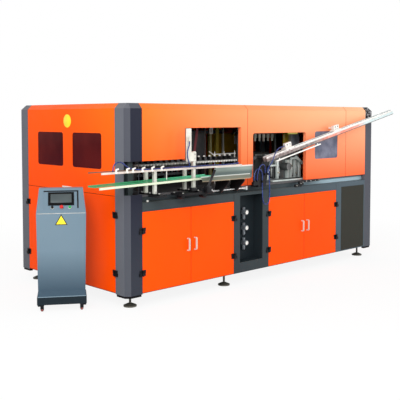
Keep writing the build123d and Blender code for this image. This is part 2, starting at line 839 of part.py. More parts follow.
body_bottom = bar_levels[1] - gripper_rise
for index in range(grippers):
    x = first_gripper + index * pitch
    gripper_bar += Pos(x, bar_y[0] - gripper_plate[1] / 2, bar_levels[0] + gripper_rise) * jaw
    body_x = (x - gripper_body[0] / 2, x + gripper_body[0] / 2)
    body_y = (rail_y[0] - bar_overlap - gripper_body[1], rail_y[0] - bar_overlap)
    gripper_bar += block(body_x, body_y, (body_bottom, body_bottom + gripper_body[2]))
for x in [bar_span[0] + 2 * carriage_length, bar_span[1] - 3 * carriage_length]:
    gripper_bar += block((x, x + carriage_length), (bar_y[1], rail_y[0] - running_gap), bar_levels)
    top_z = rail_levels[1] + running_gap
    cap_z = (top_z, top_z + carriage_wall)
    gripper_bar += block((x, x + carriage_length), (bar_y[1], rail_y[1]), cap_z)
    back_z = (bar_levels[1] - carriage_wall, top_z + carriage_wall)
    gripper_bar += block((x, x + carriage_length), (bar_y[1], rail_y[0] - running_gap), back_z)
save("gripper_bar", gripper_bar)

# Oven: loop track with spindles, lamp banks on both lanes, hood and service columns
loop_radius = (loop_y[1] - loop_y[0]) / 2
loop_middle = ((loop_x[0] + loop_x[1]) / 2, (loop_y[0] + loop_y[1]) / 2)
straight = loop_x[1] - loop_x[0]
track_half = loop_track_width / 2
outer_track = SlotCenterToCenter(straight, 2 * (loop_radius + track_half))
inner_track = SlotCenterToCenter(straight, 2 * (loop_radius - track_half))
track = extrude(outer_track - inner_track, loop_thickness)
track = Pos(loop_middle[0], loop_middle[1], loop_level) * track
loop_length = 2 * straight + 2 * math.pi * loop_radius
spindle_number = round(loop_length / pitch)
spindle_step = loop_length / spindle_number
for index in range(spindle_number):
    run = index * spindle_step
    if run < straight:
        x, y = loop_x[0] + run, loop_y[0]
    elif run < straight + math.pi * loop_radius:
        angle = (run - straight) / loop_radius - math.pi / 2
        x = loop_x[1] + loop_radius * math.cos(angle)
        y = loop_middle[1] + loop_radius * math.sin(angle)
    elif run < 2 * straight + math.pi * loop_radius:
        x, y = loop_x[1] - (run - straight - math.pi * loop_radius), loop_y[1]
    else:
        angle = (run - 2 * straight - math.pi * loop_radius) / loop_radius + math.pi / 2
        x = loop_x[0] + loop_radius * math.cos(angle)
        y = loop_middle[1] + loop_radius * math.sin(angle)
    base_z = loop_level + loop_thickness
    track += prism(base_z, x, y, spindle_base, 6)
    track += prism(base_z + spindle_base[1], x, y, spindle_mandrel, 6)
for x in [loop_x[0], loop_middle[0], loop_x[1]]:
    for y in loop_y:
        leg_x = (x - loop_leg / 2, x + loop_leg / 2)
        leg_y = (y - loop_leg / 2, y + loop_leg / 2)
        track += block(leg_x, leg_y, (deck_top, loop_level))
save("spindle_loop", track)
lane_half = spindle_base[0] / 2 + bank_gap / 2
oven_y = (loop_y[0] - lane_half - bank_depth, loop_y[1] + lane_half + bank_depth)
hood_levels = (bank_levels[1], bank_levels[1] + hood_thickness)
oven = block(oven_span, oven_y, hood_levels)
bank_faces = []
for y in loop_y:
    for side in [-1, 1]:
        face = y + side * lane_half
        back = face + side * bank_depth
        bank_y = (min(face, back), max(face, back))
        bank = block(oven_span, bank_y, bank_levels)
        pocket_y = (bank_y[0] - sheet, bank_y[1] - bank_wall)
        if side < 0:
            pocket_y = (bank_y[0] + bank_wall, bank_y[1] + sheet)
        pocket_x = (oven_span[0] + bank_wall, oven_span[1] - bank_wall)
        bank -= block(pocket_x, pocket_y, (bank_levels[0] + bank_wall, bank_levels[1] - bank_wall))
        oven += bank
        bank_faces.append(face + side * lamp_diameter)
for x in [oven_span[0], oven_span[1] - rail_leg]:
    for y in [oven_y[0], oven_y[1] - rail_leg]:
        oven += block((x, x + rail_leg), (y, y + rail_leg), (deck_top, bank_levels[0]))
lamp_pitch = (bank_levels[1] - bank_levels[0] - 2 * lamp_margin) / lamp_rows
lamp_length = oven_span[1] - oven_span[0] - 2 * bank_wall
for y in [bank_faces[0], bank_faces[3]]:
    for row in range(lamp_rows):
        z = bank_levels[0] + lamp_margin + (row + 0.5) * lamp_pitch
        tube_end = RegularPolygon(lamp_diameter / 2, 8)
        oven += Plane((oven_span[0] + bank_wall, y, z), z_dir=(1, 0, 0)) * extrude(tube_end, lamp_length)
for span in service_columns:
    oven += block(span, service_column_y, (deck_top, top_ring[0]))
duct_x = (oven_span[1] - hood_thickness, service_columns[-1][1])
oven += block(duct_x, service_column_y, hood_levels)
save("oven_housing", oven)
guards = []
for span in amber_panes:
    guard = block(span, (amber_y, amber_y + pane_thickness), amber_levels)
    for x in [span[0] + amber_leg_inset, span[1] - amber_leg]:
        guard_leg_y = (amber_y + pane_thickness, amber_y + amber_leg)
        guard += block((x, x + amber_leg), guard_leg_y, (deck_top, amber_levels[1]))
    guards.append(guard)
save("amber_guards", *guards)

# Conveyor stands: black foot bar on the bed plate with two upright profiles, and the guide rod
stands = []
for index, x in enumerate(stand_x):
    stand = block(
        (x - foot_bar[0] / 2, x + foot_bar[0] / 2),
        foot_bar_y,
        (deck_top, deck_top + foot_bar[2]),
    )
    for y in [stand_front_y, stand_rear_y]:
        tall = index == 1 and y == stand_front_y
        top = tall_stand_top if tall else stand_top
        profile = RectangleRounded(stand_tube, stand_tube, 3)
        stand += Pos(x, y, deck_top) * extrude(profile, top - deck_top)
    stands.append(stand)
guide_rod = bar((rod_span[0], rod_y, rod_level), (rod_span[1], rod_y, rod_level), rod_diameter)
for x in [rod_span[0] + rod_clamp[0], rod_span[1] - rod_clamp[0]]:
    clamp_x = (x - rod_clamp[0] / 2, x + rod_clamp[0] / 2)
    clamp_z = (rod_level - rod_clamp[2] / 2, rod_level + rod_clamp[2] / 2)
    guide_rod += block(clamp_x, (deck_front_inset - rod_clamp[1], deck_front_inset), clamp_z)
save("conveyor_stands", *stands)
save("guide_rod", guide_rod)

# Neck rails on the outer faces of the stands
stand_front_face = stand_front_y - stand_tube / 2
stand_inner_face = stand_rear_y - stand_tube / 2
neck_z = (stand_top - neck_rail_height, stand_top)
rear_rail_span = (rear_rail_start, stand_x[1] + 3 * stand_tube)
rear_neck_z = (stand_top - rear_rail_height, stand_top)
neck_rails = [
    block(neck_rail_span, (stand_front_face - neck_rail_thickness, stand_front_face), neck_z),
    block(rear_rail_span, (stand_inner_face - neck_rail_thickness, stand_inner_face), rear_neck_z),
]

# Bottle channel: inclined green strip with an upstand between the posts, light rail in front
slope = Rot(0, -channel_slope, 0)
channel_length = channel_span[1] - channel_span[0]
channel_y = (stand_front_y + stand_tube / 2, stand_inner_face)
channel = block((0, channel_length), channel_y, (0, channel_floor))
upstand_y = (channel_y[1] - channel_floor, channel_y[1])
channel += block((0, channel_length), upstand_y, (0, channel_floor + channel_upstand))
channel = Pos(channel_span[0], 0, channel_left_level) * slope * channel
save("bottle_channel", channel)
channel_rail = block(
    (channel_rail_setback, channel_length),
    (stand_front_face - neck_rail_thickness, stand_front_face),
    (-channel_rail_height, 0),
)
save("guide_rails", *neck_rails, Pos(channel_span[0], 0, channel_left_level) * slope * channel_rail)

# Sensor mast: flat upright on the tall stand with a small sensor block
mast_y = (stand_front_face - mast_thickness, stand_front_face)
mast_foot = tall_stand_top - mast_lap[0]
mast = block(mast_span, mast_y, (mast_foot, mast_top))
mast = fillet(mast.edges().filter_by(Axis.Y), 2 * sheet)
tongue_x = (mast_span[1], stand_x[1] + stand_tube / 2)
mast += block(tongue_x, mast_y, (mast_foot, tall_stand_top - mast_lap[1]))
mast_middle = (mast_span[0] + mast_span[1]) / 2
sensor_x = (mast_middle - sensor_size[0] / 2, mast_middle + sensor_size[0] / 2)
sensor_y = (mast_y[0] - sensor_size[1], mast_y[0])
sensor_z = (mast_top - sensor_drop - sensor_size[2], mast_top - sensor_drop)
mast += block(sensor_x, sensor_y, sensor_z)
save("sensor_mast", mast)

# Bottle trough: folded sheet with a low front wall and a tall back wall, on two struts
fold_line = Polyline(*trough_profile)
trough_face = make_face(offset(fold_line, amount=sheet / 2, side=Side.BOTH))
trough = Plane.YZ.offset(trough_front[0]) * extrude(trough_face, trough_rear[1] - trough_front[0])
lip_y = trough_profile[0][0] - 2 * sheet
wall_y = trough_profile[3][0] + 2 * sheet
kept = Polyline(
    (trough_front[0], lip_y),
    (trough_front[1], lip_y),
    (trough_rear[1], wall_y),
    (trough_rear[0], wall_y),
    close=True,
)
trough &= extrude(make_face(kept), height)
strut_bottom = rod_level - strut_below_rod
strut_profile = [
    (deck_front_inset, strut_bottom),
    (deck_front_inset, deck_top),
    (strut_back_y, trough_profile[3][1] - strut_drop),
    (trough_profile[2][0], trough_profile[2][1] - sheet / 2),
    (trough_profile[1][0], trough_profile[1][1] - sheet / 2),
    (trough_profile[1][0], trough_profile[1][1] - strut_drop),
    (deck_front_inset - strut_overhang, strut_bottom),
]
strut_face = make_face(Polyline(*strut_profile, close=True))
for x in trough_bracket_x:
    trough += Plane.YZ.offset(x) * extrude(strut_face, trough_bracket_thickness)
rod_hole = rod_diameter + 2 * running_gap
trough -= bar((rod_span[0], rod_y, rod_level), (rod_span[1], rod_y, rod_level), rod_hole)
save("bottle_trough", trough)

# Preform chute: two side plates with spacers on one incline, clear cover, lower rail, clamps
incline = Pos(chute_start[0], chute_y, chute_start[1]) * Rot(0, -chute_angle, 0)
half_gap = chute_gap / 2
chute = Part()
for y in [(-half_gap - chute_plate, -half_gap), (half_gap, half_gap + chute_plate)]:
    chute += block((0, chute_length), y, (-chute_height, 0))
for index in range(chute_spacers):
    x = (index + 0.5) * chute_length / chute_spacers
    spacer_z = -chute_height + spacer_rise
    chute += bar((x, -half_gap, spacer_z), (x, half_gap, spacer_z), spacer_diameter)
rail_bottom = -chute_height - lower_rail_drop
rail_z = (rail_bottom, rail_bottom + lower_rail_section[1])
lower_y = (-half_gap - lower_rail_section[0] / 2, -half_gap + lower_rail_section[0] / 2)
chute += block(lower_rail_span, lower_y, rail_z)
hanger_half = lower_rail_hangers[0] / 2
for x in [lower_rail_span[0] + lower_rail_hangers[1], lower_rail_span[1] - lower_rail_hangers[1]]:
    hanger_z = (rail_bottom, -chute_height + hanger_half)
    chute += block((x - hanger_half, x + hanger_half), (-half_gap - chute_plate, -half_gap), hanger_z)
for x in sensor_clamps:
    clamp_x = (x - sensor_clamp_size[0] / 2, x + sensor_clamp_size[0] / 2)
    clamp_y = (-sensor_clamp_size[1] / 2, sensor_clamp_size[1] / 2)
    chute += block(clamp_x, clamp_y, (0, sensor_clamp_base))
    head_x = (x - sensor_head[0] / 2, x + sensor_head[0] / 2)
    head_y = (-sensor_head[1] / 2, sensor_head[1] / 2)
    chute += block(head_x, head_y, (sensor_clamp_base, sensor_clamp_size[2]))
arm_x = chute_start[0] + sensor_clamps[1] * math.cos(math.radians(chute_angle))
arm_z = chute_start[1] + sensor_clamps[1] * math.sin(math.radians(chute_angle))
chute = incline * chute
arm_half = chute_arm[0] / 2
arm_levels = (arm_z + chute_arm[1], arm_z + chute_arm[2])
chute += block((arm_x - arm_half, arm_x + arm_half), (chute_y, 0), arm_levels)
save("preform_chute", chute)
chute_cover = block(
    (chute_cover_start, chute_length),
    (-half_gap + running_gap, half_gap - running_gap),
    chute_cover_levels,
)
save("chute_cover", incline * chute_cover)

# Chute bracket: black plate from the bed plate to the low end of the chute
bracket_front = chute_y + half_gap + chute_plate
bracket_back = bracket_front + chute_bracket_thickness
bracket_top = chute_start[1] - spacer_rise - spacer_diameter
bracket_profile = [
    (chute_bracket_x[0], deck_top - deck_thickness),
    (chute_bracket_x[1], deck_top - deck_thickness),
    (fitting_places[-1][0] + fitting_size[1], bracket_top - fitting_size[1]),
    (fitting_places[-1][0], bracket_top),
    (chute_start[0] + spacer_rise, bracket_top),
    (chute_bracket_x[0], (deck_top + bracket_top) / 2),
]
bracket_face = make_face(Polyline(*bracket_profile, close=True))
bracket_plane = Plane((0, bracket_back, 0), x_dir=(1, 0, 0), z_dir=(0, -1, 0))
bracket = bracket_plane * extrude(bracket_face, chute_bracket_thickness)
bracket += block(chute_bracket_x, (bracket_front, deck_front_inset), (deck_top - deck_thickness, deck_top))
fitting_y = (bracket_front - fitting_size[0], bracket_front)
for x, z in fitting_places:
    fitting_x = (x - fitting_size[0] / 2, x + fitting_size[0] / 2)
    bracket += block(fitting_x, fitting_y, (z, z + fitting_size[1]))
valve_top = deck_top + valve_block_height
valve_x = (valve_block_start, chute_bracket_x[0])
bracket += block(valve_x, (fitting_y[0], bracket_back), (deck_top, valve_top))
port_top = valve_top + valve_port_size[1]
for x in valve_ports:
    port_x = (x - valve_port_size[0] / 2, x + valve_port_size[0] / 2)
    bracket += block(port_x, fitting_y, (valve_top, port_top))
save("chute_bracket", bracket)

# Air hoses: one along the neck rail, one on the mast, four between the chute's fittings
def hose(points):
    """Round hose along straight runs with tangent arcs as large as the runs allow."""
    spots = [Vector(*point) for point in points]
    radii = []
    for before, here, after in zip(spots, spots[1:], spots[2:]):
        turn = math.radians((here - before).get_angle(after - here))
        shorter = min((here - before).length, (after - here).length)
        radii.append(0.45 * shorter / math.tan(turn / 2))
    print([round(radius) for radius in radii])
    path = FilletPolyline(*spots, radius=radii)
    section = Plane(spots[0], z_dir=spots[1] - spots[0]) * Circle(hose_diameter / 2)
    return sweep(section, path=path)


hose_y = stand_front_face - neck_rail_thickness / 2
hose_z = stand_top + hose_diameter / 2
rail_hose = [
    (-262, hose_y, stand_top),
    (-262, hose_y, stand_top + 40),
    (-240, hose_y, stand_top + 78),
    (-196, hose_y, stand_top + 96),
    (-146, hose_y, stand_top + 86),
    (-106, hose_y, stand_top + 54),
    (-60, hose_y, stand_top + 26),
    (20, hose_y, hose_z + 5),
    (160, hose_y, hose_z),
    (330, hose_y, hose_z),
    (500, hose_y - 3, hose_z + 3),
    (670, hose_y - 15, hose_z + 4),
    (840, hose_y - 16, hose_z + 2),
    (1010, hose_y - 4, hose_z + 5),
    (1180, hose_y, hose_z),
    (1340, hose_y, hose_z),
    (1500, hose_y + 4, hose_z + 9),
]
save("rail_air_hose", hose(rail_hose))
mast_hose_y = (sensor_y[0] + sensor_y[1]) / 2
mast_hose = [
    (mast_middle, mast_hose_y, sensor_z[0]),
    (mast_middle, mast_hose_y, sensor_z[0] - 34),
    (mast_middle - 19, mast_hose_y, sensor_z[0] - 72),
    (mast_middle - 33, mast_hose_y, sensor_z[0] - 118),
    (mast_middle - 30, mast_hose_y, sensor_z[0] - 166),
    (mast_middle - 11, mast_hose_y, sensor_z[0] - 214),
    (mast_middle + 11, hose_y, stand_top + 30),
    (mast_middle + 11, hose_y, stand_top),
]
save("mast_air_hose", hose(mast_hose))
hang_y = bracket_front - fitting_size[0] / 2
low_fitting, middle_fitting, right_fitting, high_fitting = fitting_places
fitting_top = fitting_size[1]
hanging_loop = [
    (high_fitting[0], hang_y, high_fitting[1]),
    (high_fitting[0], hang_y, high_fitting[1] - 105),
    (high_fitting[0] + 6, hang_y - 5, 1145),
    (high_fitting[0] + 4, hang_y - 9, 1055),
    (high_fitting[0] - 2, hang_y - 11, 990),
    (high_fitting[0] - 18, hang_y - 12, 945),
    (high_fitting[0] - 60, hang_y - 12, 926),
    (low_fitting[0] + 14, hang_y - 11, 945),
    (low_fitting[0] - 3, hang_y - 9, 990),
    (low_fitting[0] - 6, hang_y - 6, 1052),
    (low_fitting[0], hang_y, low_fitting[1] - 65),
    (low_fitting[0], hang_y, low_fitting[1]),
]
inner_arch = [
    (valve_ports[0], hang_y, port_top),
    (valve_ports[0], hang_y, port_top + 40),
    (valve_ports[0] + 6, hang_y, port_top + 84),
    (valve_ports[0] + 30, hang_y, port_top + 122),
    (valve_ports[0] + 71, hang_y, port_top + 136),
    (low_fitting[0] - 30, hang_y, port_top + 122),
    (low_fitting[0] - 6, hang_y, port_top + 84),
    (low_fitting[0], hang_y, port_top + 40),
    (low_fitting[0], hang_y, low_fitting[1] + fitting_top),
]
outer_arch = [
    (valve_ports[1], hang_y, port_top),
    (valve_ports[1], hang_y, port_top + 40),
    (valve_ports[1] - 1, hang_y - 12, port_top + 84),
    (valve_ports[1] + 6, hang_y - 19, port_top + 128),
    (valve_ports[1] + 30, hang_y - 20, port_top + 168),
    (valve_ports[1] + 71, hang_y - 19, port_top + 186),
    (middle_fitting[0] - 27, hang_y - 15, port_top + 173),
    (middle_fitting[0], hang_y, port_top + 126),
    (middle_fitting[0], hang_y, middle_fitting[1] + fitting_top),
]
plug_x = sensor_clamps[0] - sensor_head[0] / 2
plug_z = (sensor_clamp_base + sensor_clamp_size[2]) / 2
plug = (incline * Pos(plug_x, 0, plug_z)).position
before_plug = (incline * Pos(plug_x - 45, 0, plug_z)).position
sensor_hose = [
    (right_fitting[0], hang_y, right_fitting[1] + fitting_top),
    (right_fitting[0], hang_y, right_fitting[1] + fitting_top + 33),
    (right_fitting[0] + 1, hang_y - 19, right_fitting[1] + 95),
    (right_fitting[0] + 8, hang_y - 47, right_fitting[1] + 131),
    (right_fitting[0] + 20, hang_y - 66, right_fitting[1] + 175),
    (right_fitting[0] + 40, hang_y - 69, right_fitting[1] + 225),
    (right_fitting[0] + 74, hang_y - 65, right_fitting[1] + 271),
    (right_fitting[0] + 122, hang_y - 53, right_fitting[1] + 305),
    (right_fitting[0] + 180, hang_y - 35, right_fitting[1] + 321),
    (before_plug.X, before_plug.Y, before_plug.Z),
    (plug.X, plug.Y, plug.Z),
]
chute_hoses = [hanging_loop, inner_arch, outer_arch, sensor_hose]
save("chute_air_hose", *[hose(route) for route in chute_hoses])

# Console: skirt, tapered column, sloped head, with castor forks below
console_place = Pos(console_x, console_y, 0) * Rot(0, 0, console_turn)


def console_section(z, section_width, depth, front=0):
    """Rectangle of the console at one level, its front edge at the given depth."""
    return Pos(0, front + depth / 2, z) * Rectangle(section_width, depth)


skirt_depth = console_depth + skirt_lip
skirt = console_section(console_base, skirt_width, skirt_depth, -skirt_lip)
console = extrude(skirt, console_skirt_top - console_base)
console += loft([
    console_section(console_skirt_top, skirt_width - 2 * skirt_lip, console_depth),
    console_section(console_waist, waist_width, console_depth - skirt_lip, skirt_lip),
])
console += loft([
    console_section(console_waist, waist_width, console_depth - skirt_lip, skirt_lip),
    console_section(console_shoulder, shoulder_width, console_depth),
])
console += loft([
    console_section(console_shoulder, shoulder_width, console_depth),
    console_section(console_top, top_width, console_depth - head_setback, head_setback),
])
head_rise = console_top - console_shoulder
panel_plane = Plane((0, 0, console_shoulder), x_dir=(1, 0, 0), z_dir=(0, -head_rise, head_setback))
recess = Pos(0, recess_from + recess_plate[1] / 2, -recess_plate[2] / 2) * Box(*recess_plate)
console -= panel_plane * recess
floor_level = -recess_plate[2]
for x in button_offsets:
    pocket = extrude(Circle(button_hole / 2), button_pocket)
    pocket_place = Pos(x, button_level, floor_level - button_pocket)
    console -= panel_plane * pocket_place * pocket
wheel_z = wheel_diameter / 2
fork_half = wheel_width / 2 + fork_gap
castor_places = []
for x in [-castor_offset, castor_offset]:
    for y in [castor_inset, console_depth - castor_inset]:
        castor_places.append((x, y))
for x, y in castor_places:
    fork_top = wheel_diameter + 2 * fork_gap
    fork_x = (x - fork_half - fork_plate, x + fork_half + fork_plate)
    fork_block = block(fork_x, (y - fork_depth / 2, y + fork_depth / 2), (fork_bottom, console_base))
    fork_inside = (x - fork_half, x + fork_half)
    fork_block -= block(fork_inside, (y - fork_depth, y + fork_depth), (0, fork_top + fork_bridge))
    console += fork_block
    console += bar((x - fork_half, y, wheel_z), (x + fork_half, y, wheel_z), axle_diameter)
save("console_cabinet", console_place * console)
glass_place = Pos(0, screen_glass_rise, screen_size[2] / 2)
screen = Box(*screen_size) - glass_place * Box(*screen_glass)
screen = panel_plane * Pos(0, screen_level, floor_level + screen_size[2] / 2) * screen
save("touch_screen", console_place * screen)
stem = extrude(Circle(button_hole / 2 - button_gap), 2 * button_travel - button_pocket)
push_cap = extrude(Circle(push_cap_diameter / 2), push_cap_height)
push_button = Pos(0, 0, button_travel + 1) * (push_cap + stem)
stop_profile = Polyline(
    (0, 0),
    (stop_cap_diameter / 4, 0),
    (stop_cap_diameter / 2, stop_cap_height / 2),
    (stop_cap_diameter / 2 - 3, stop_cap_height),
    (0, stop_cap_height),
    close=True,
)
stop_cap = revolve(Plane.XZ * make_face(stop_profile), Axis.Z)
stop_button = Pos(0, 0, button_travel + 1) * (stop_cap + stem)
names = ["selector_switch", "stop_button", "start_button"]
for name, x in zip(names, button_offsets):
    cap = stop_button if name == "stop_button" else push_button
    if name == "selector_switch":
        grip = extrude(Rectangle(selector_bar[0], selector_bar[1]), selector_bar[2])
        cap = push_button + Pos(0, 0, button_travel + 1 + push_cap_height) * grip
    placed = panel_plane * (Pos(x, button_level, floor_level) * cap)
    save(name, console_place * placed)
for index, (x, y) in enumerate(castor_places):
    wheel = bar((x - wheel_width / 2, y, wheel_z), (x + wheel_width / 2, y, wheel_z), wheel_diameter)
    bore = axle_diameter + 2 * shaft_gap
    wheel -= bar((x - wheel_width / 2, y, wheel_z), (x + wheel_width / 2, y, wheel_z), bore)
    save(f"castor_wheel_{index + 1}", console_place * wheel)
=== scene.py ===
import bpy
import math
from mathutils import Matrix, Vector


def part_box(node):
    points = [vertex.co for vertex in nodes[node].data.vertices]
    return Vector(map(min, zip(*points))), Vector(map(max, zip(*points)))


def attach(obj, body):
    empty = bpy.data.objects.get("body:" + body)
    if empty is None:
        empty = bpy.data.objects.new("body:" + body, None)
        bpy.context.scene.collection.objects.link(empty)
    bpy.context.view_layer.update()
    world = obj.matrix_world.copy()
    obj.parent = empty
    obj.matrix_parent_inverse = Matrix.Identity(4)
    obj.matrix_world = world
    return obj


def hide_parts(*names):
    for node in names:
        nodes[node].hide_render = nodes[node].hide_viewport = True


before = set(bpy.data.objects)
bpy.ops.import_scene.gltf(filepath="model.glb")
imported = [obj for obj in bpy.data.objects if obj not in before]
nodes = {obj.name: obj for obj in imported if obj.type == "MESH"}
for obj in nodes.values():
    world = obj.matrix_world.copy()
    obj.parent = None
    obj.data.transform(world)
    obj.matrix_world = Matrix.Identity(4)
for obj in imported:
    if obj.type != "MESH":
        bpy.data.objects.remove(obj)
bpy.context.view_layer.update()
scene = bpy.context.scene

# Bed frame and its folded apron strips. Welded square steel tube and 3 mm sheet,
# degreased and powder coated in satin slate grey, so it has a faint orange-peel skin
# and a little dust on what faces up.


def linear(code):
    """Colour for a shader from an sRGB hex code."""
    parts = [int(code[at:at + 2], 16) / 255 for at in (1, 3, 5)]
    return [part / 12.92 if part <= 0.04045 else ((part + 0.055) / 1.055) ** 2.4 for part in parts] + [1.0]


def put(tree, node, values):
    """Sets a node's fields and sockets: a socket is linked, a rule is worked out first, and
    X, Y and Z stand for the axes of the machine."""
    for key, value in values.items():
        if isinstance(value, tuple) and not isinstance(value[0], (int, float)):
            value = reckon(tree, value)
        elif isinstance(value, str) and value in "XYZ":
            value = tree.nodes["axes"].outputs[value]
        if isinstance(value, bpy.types.NodeSocket):
            tree.links.new(value, node.inputs[key])
        elif isinstance(key, str) and hasattr(node, key):
            setattr(node, key, value)
        else:
            node.inputs[key].default_value = value
    return node


def add(tree, kind, values=None):
    """Adds one node with its settings and links."""
    return put(tree, tree.nodes.new(kind), values or {})


def reckon(tree, rule):
    """Result of (operation, value, value), or of (value, start, end, low, high): a share
    that runs from low to high, or 0 to 1, while the value goes from start to end."""
    if isinstance(rule[0], str) and rule[0] not in "XYZ":
        worked = add(tree, "ShaderNodeMath", {"operation": rule[0]})
        return put(tree, worked, dict(enumerate(rule[1:]))).outputs[0]
    return add(tree, "ShaderNodeMapRange", dict(enumerate(rule))).outputs[0]


def new_material(name):
    """Empty node material: its tree, its surface shader and the machine's coordinates."""
    material = bpy.data.materials.new(name)
    material.use_nodes = True
    tree = material.node_tree
    tree.nodes.clear()
    surface = add(tree, "ShaderNodeBsdfPrincipled")
    add(tree, "ShaderNodeOutputMaterial", {"Surface": surface.outputs[0]})
    place = add(tree, "ShaderNodeTexCoord").outputs["Object"]
    add(tree, "ShaderNodeSeparateXYZ", {"name": "axes", 0: place})
    return material, tree, surface, place


def blotches(tree, place, size, low=0.0, high=1.0):
    """Noise of blotches as large as size in metres, spread between two values."""
    noise = add(tree, "ShaderNodeTexNoise", {"Scale": 1 / size, "Detail": 3, "Vector": place})
    return reckon(tree, (noise.outputs[0], 0.3, 0.7, low, high))


def tint(tree, share, first, second):
    """Blend of two colours, hex codes or sockets, by a share."""
    first, second = (linear(colour) if isinstance(colour, str) else colour for colour in (first, second))
    return add(tree, "ShaderNodeMix", {"data_type": "RGBA", "Factor": share, 6: first, 7: second}).outputs[2]


def mottle(tree, place, size, first, second):
    """Two near colours in drifts as large as size in metres."""
    return tint(tree, blotches(tree, place, size), first, second)


def relief(tree, surface, height, depth, strength):
    """Bump as deep as depth in metres from a height between 0 and 1."""
    bump = add(tree, "ShaderNodeBump", {"Strength": strength, "Distance": depth, "Height": height})
    put(tree, surface, {"Normal": bump.outputs[0]})


drift_size, dust_size, gloss_size, peel_size = 0.9, 0.05, 0.12, 0.004
level_from, most_dust = 0.6, 0.22


def powder_coat(name, main, shade, gloss):
    """Powder coat: two near colours in wide drifts, fine peel 4 mm across, dusty ledges."""
    material, tree, surface, place = new_material(name)
    facing = add(tree, "ShaderNodeNewGeometry").outputs["Normal"]
    up = add(tree, "ShaderNodeSeparateXYZ", {0: facing}).outputs[2]
    dust = ("MULTIPLY", (up, level_from, 1.0, 0.0, most_dust), blotches(tree, place, dust_size, 0.4, 1.0))
    colour = tint(tree, dust, mottle(tree, place, drift_size, main, shade), "#B7B2A8")
    roughness = blotches(tree, place, gloss_size, gloss - 0.05, gloss + 0.07)
    put(tree, surface, {"Base Color": colour, "Roughness": roughness, "IOR": 1.5, "Specular IOR Level": 0.07})
    relief(tree, surface, blotches(tree, place, peel_size), 0.0002, 0.35)
    return material, tree, surface, place, colour


def dress(material, *names):
    """Gives CAD nodes their finish."""
    for name in names:
        nodes[name].data.materials.clear()
        nodes[name].data.materials.append(material)


paler_run = (2.0, 3.6)
rail_run = (2.5, 3.3)
rail_foot = (1.086, 1.090)
recess_face = -0.140
recess_top = (1.062, 1.060)
sill_top = 0.1455
slate, tree, surface, place, colour = powder_coat("satin_slate_powder_coat", "#3B4345", "#343B3F", 0.42)
# Painted light: the slate coat turns paler and bluer towards the right end.
colour = tint(tree, ("X", *paler_run, 0.0, 0.7), colour, "#56656F")
# Painted highlight: pale blue above the ledge's foot, fading in from x 2.5 to full beyond 3.3.
colour = tint(tree, ("MULTIPLY", ("Z", *rail_foot), ("X", *rail_run)), colour, "#A8C2CD")
# Painted shade: nearly black on what lies behind the apron's face, below its top.
colour = tint(tree, ("MULTIPLY", ("GREATER_THAN", "Y", recess_face), ("Z", *recess_top)), colour, "#20272B")
# Painted shade: nearly black below the sill, under the machine.
put(tree, surface, {"Base Color": tint(tree, ("LESS_THAN", "Z", sill_top), colour, "#191210")})
dress(slate, "base_frame")

# Levelling feet. Cast pads on turned stems, zinc plated, gone olive-grey and dusty
# at the rim where they stand on the floor.
dusty_rim = (0.0, 0.02)
feet_finish, tree, surface, place = new_material("cast_foot_dull_zinc")
worn = mottle(tree, place, 0.02, "#3A3A36", "#55534B")
put(tree, surface, {
    "Base Color": tint(tree, ("Z", *dusty_rim, 0.8, 0.0), worn, "#6E6A60"),
    "Metallic": 0.35, "Roughness": blotches(tree, place, 0.008, 0.42, 0.62),
})
relief(tree, surface, blotches(tree, place, 0.003), 0.0004, 0.5)
dress(feet_finish, "levelling_feet")

# Bed plate and transfer rail. Ground steel with fine grinding lines along the machine
# and oil-darkened patches.


def drawn_lines(tree, place, along, across):
    """Fine lines drawn out along the machine, as noise stretched between two scales."""
    stretch = add(tree, "ShaderNodeMapping", {"Scale": (along, across, across), "Vector": place}).outputs[0]
    return add(tree, "ShaderNodeTexNoise", {"Scale": 1.0, "Detail": 2.0, "Vector": stretch}).outputs[0]


def ground_steel(name, light, dark, roughness, metallic):
    """Ground or brushed metal: lines drawn out along the machine, soft dark patches."""
    material, tree, surface, place = new_material(name)
    lines = drawn_lines(tree, place, 4.0, 260.0)
    put(tree, surface, {
        "Base Color": tint(tree, lines, mottle(tree, place, 0.14, light, dark), light),
        "Metallic": metallic, "Roughness": blotches(tree, place, 0.06, roughness - 0.06, roughness + 0.1),
    })
    relief(tree, surface, lines, 0.0001, 0.4)
    return material


dress(ground_steel("oiled_dark_bed_plate", "#474546", "#323136", 0.5, 0.15), "bed_plate")
dress(ground_steel("oiled_rail_steel", "#3C3D40", "#242528", 0.42, 0.4), "transfer_rail")

# Corner posts and roof. Folded sheet in a mid grey coat, with painted shade on the sides that face the front,
# most on the left, and a little darker towards the floor; the plinth caps below are black, and the far top
# cap is rubbed.
plinth_top = 0.1425
top_cap_foot = 1.935
right_end = 4.0
front_edge = (-0.030, -0.040)
lower_part = (1.1, 0.3)
post_coat, tree, surface, place, colour = powder_coat("corner_post_powder_coat", "#676970", "#62646C", 0.45)
facing = add(tree, "ShaderNodeNewGeometry").outputs["Normal"]
turned_front = (add(tree, "ShaderNodeSeparateXYZ", {0: facing}).outputs[1], -0.35, -1.0)
# Painted shade on the sides that face the front, weaker towards the right end.
colour = tint(tree, ("MULTIPLY", turned_front, ("X", 2.0, right_end, 1.0, 0.45)), colour, "#242632")
colour = tint(tree, ("Z", *lower_part, 0.0, 0.25), colour, "#4E555B")
top_cap = ("MULTIPLY", ("GREATER_THAN", "Z", top_cap_foot), ("GREATER_THAN", "X", right_end))
rubbed = tint(tree, (blotches(tree, place, 0.03), 0.52, 0.62), "#131316", "#8E8E92")
colour = tint(tree, ("MULTIPLY", top_cap, ("Y", *front_edge)), colour, rubbed)
put(tree, surface, {"Base Color": tint(tree, ("LESS_THAN", "Z", plinth_top), colour, "#131315")})
dress(post_coat, "front_left_post", "front_right_post", "rear_left_post", "rear_right_post", "roof_panel")

# Covers, end panels and rear panels. Folded 3 mm sheet in a glossy orange powder coat, with painted glare
# that makes the upper panels paler towards the front, palest at the right end.
seam_fade = (0.006, 0.003)


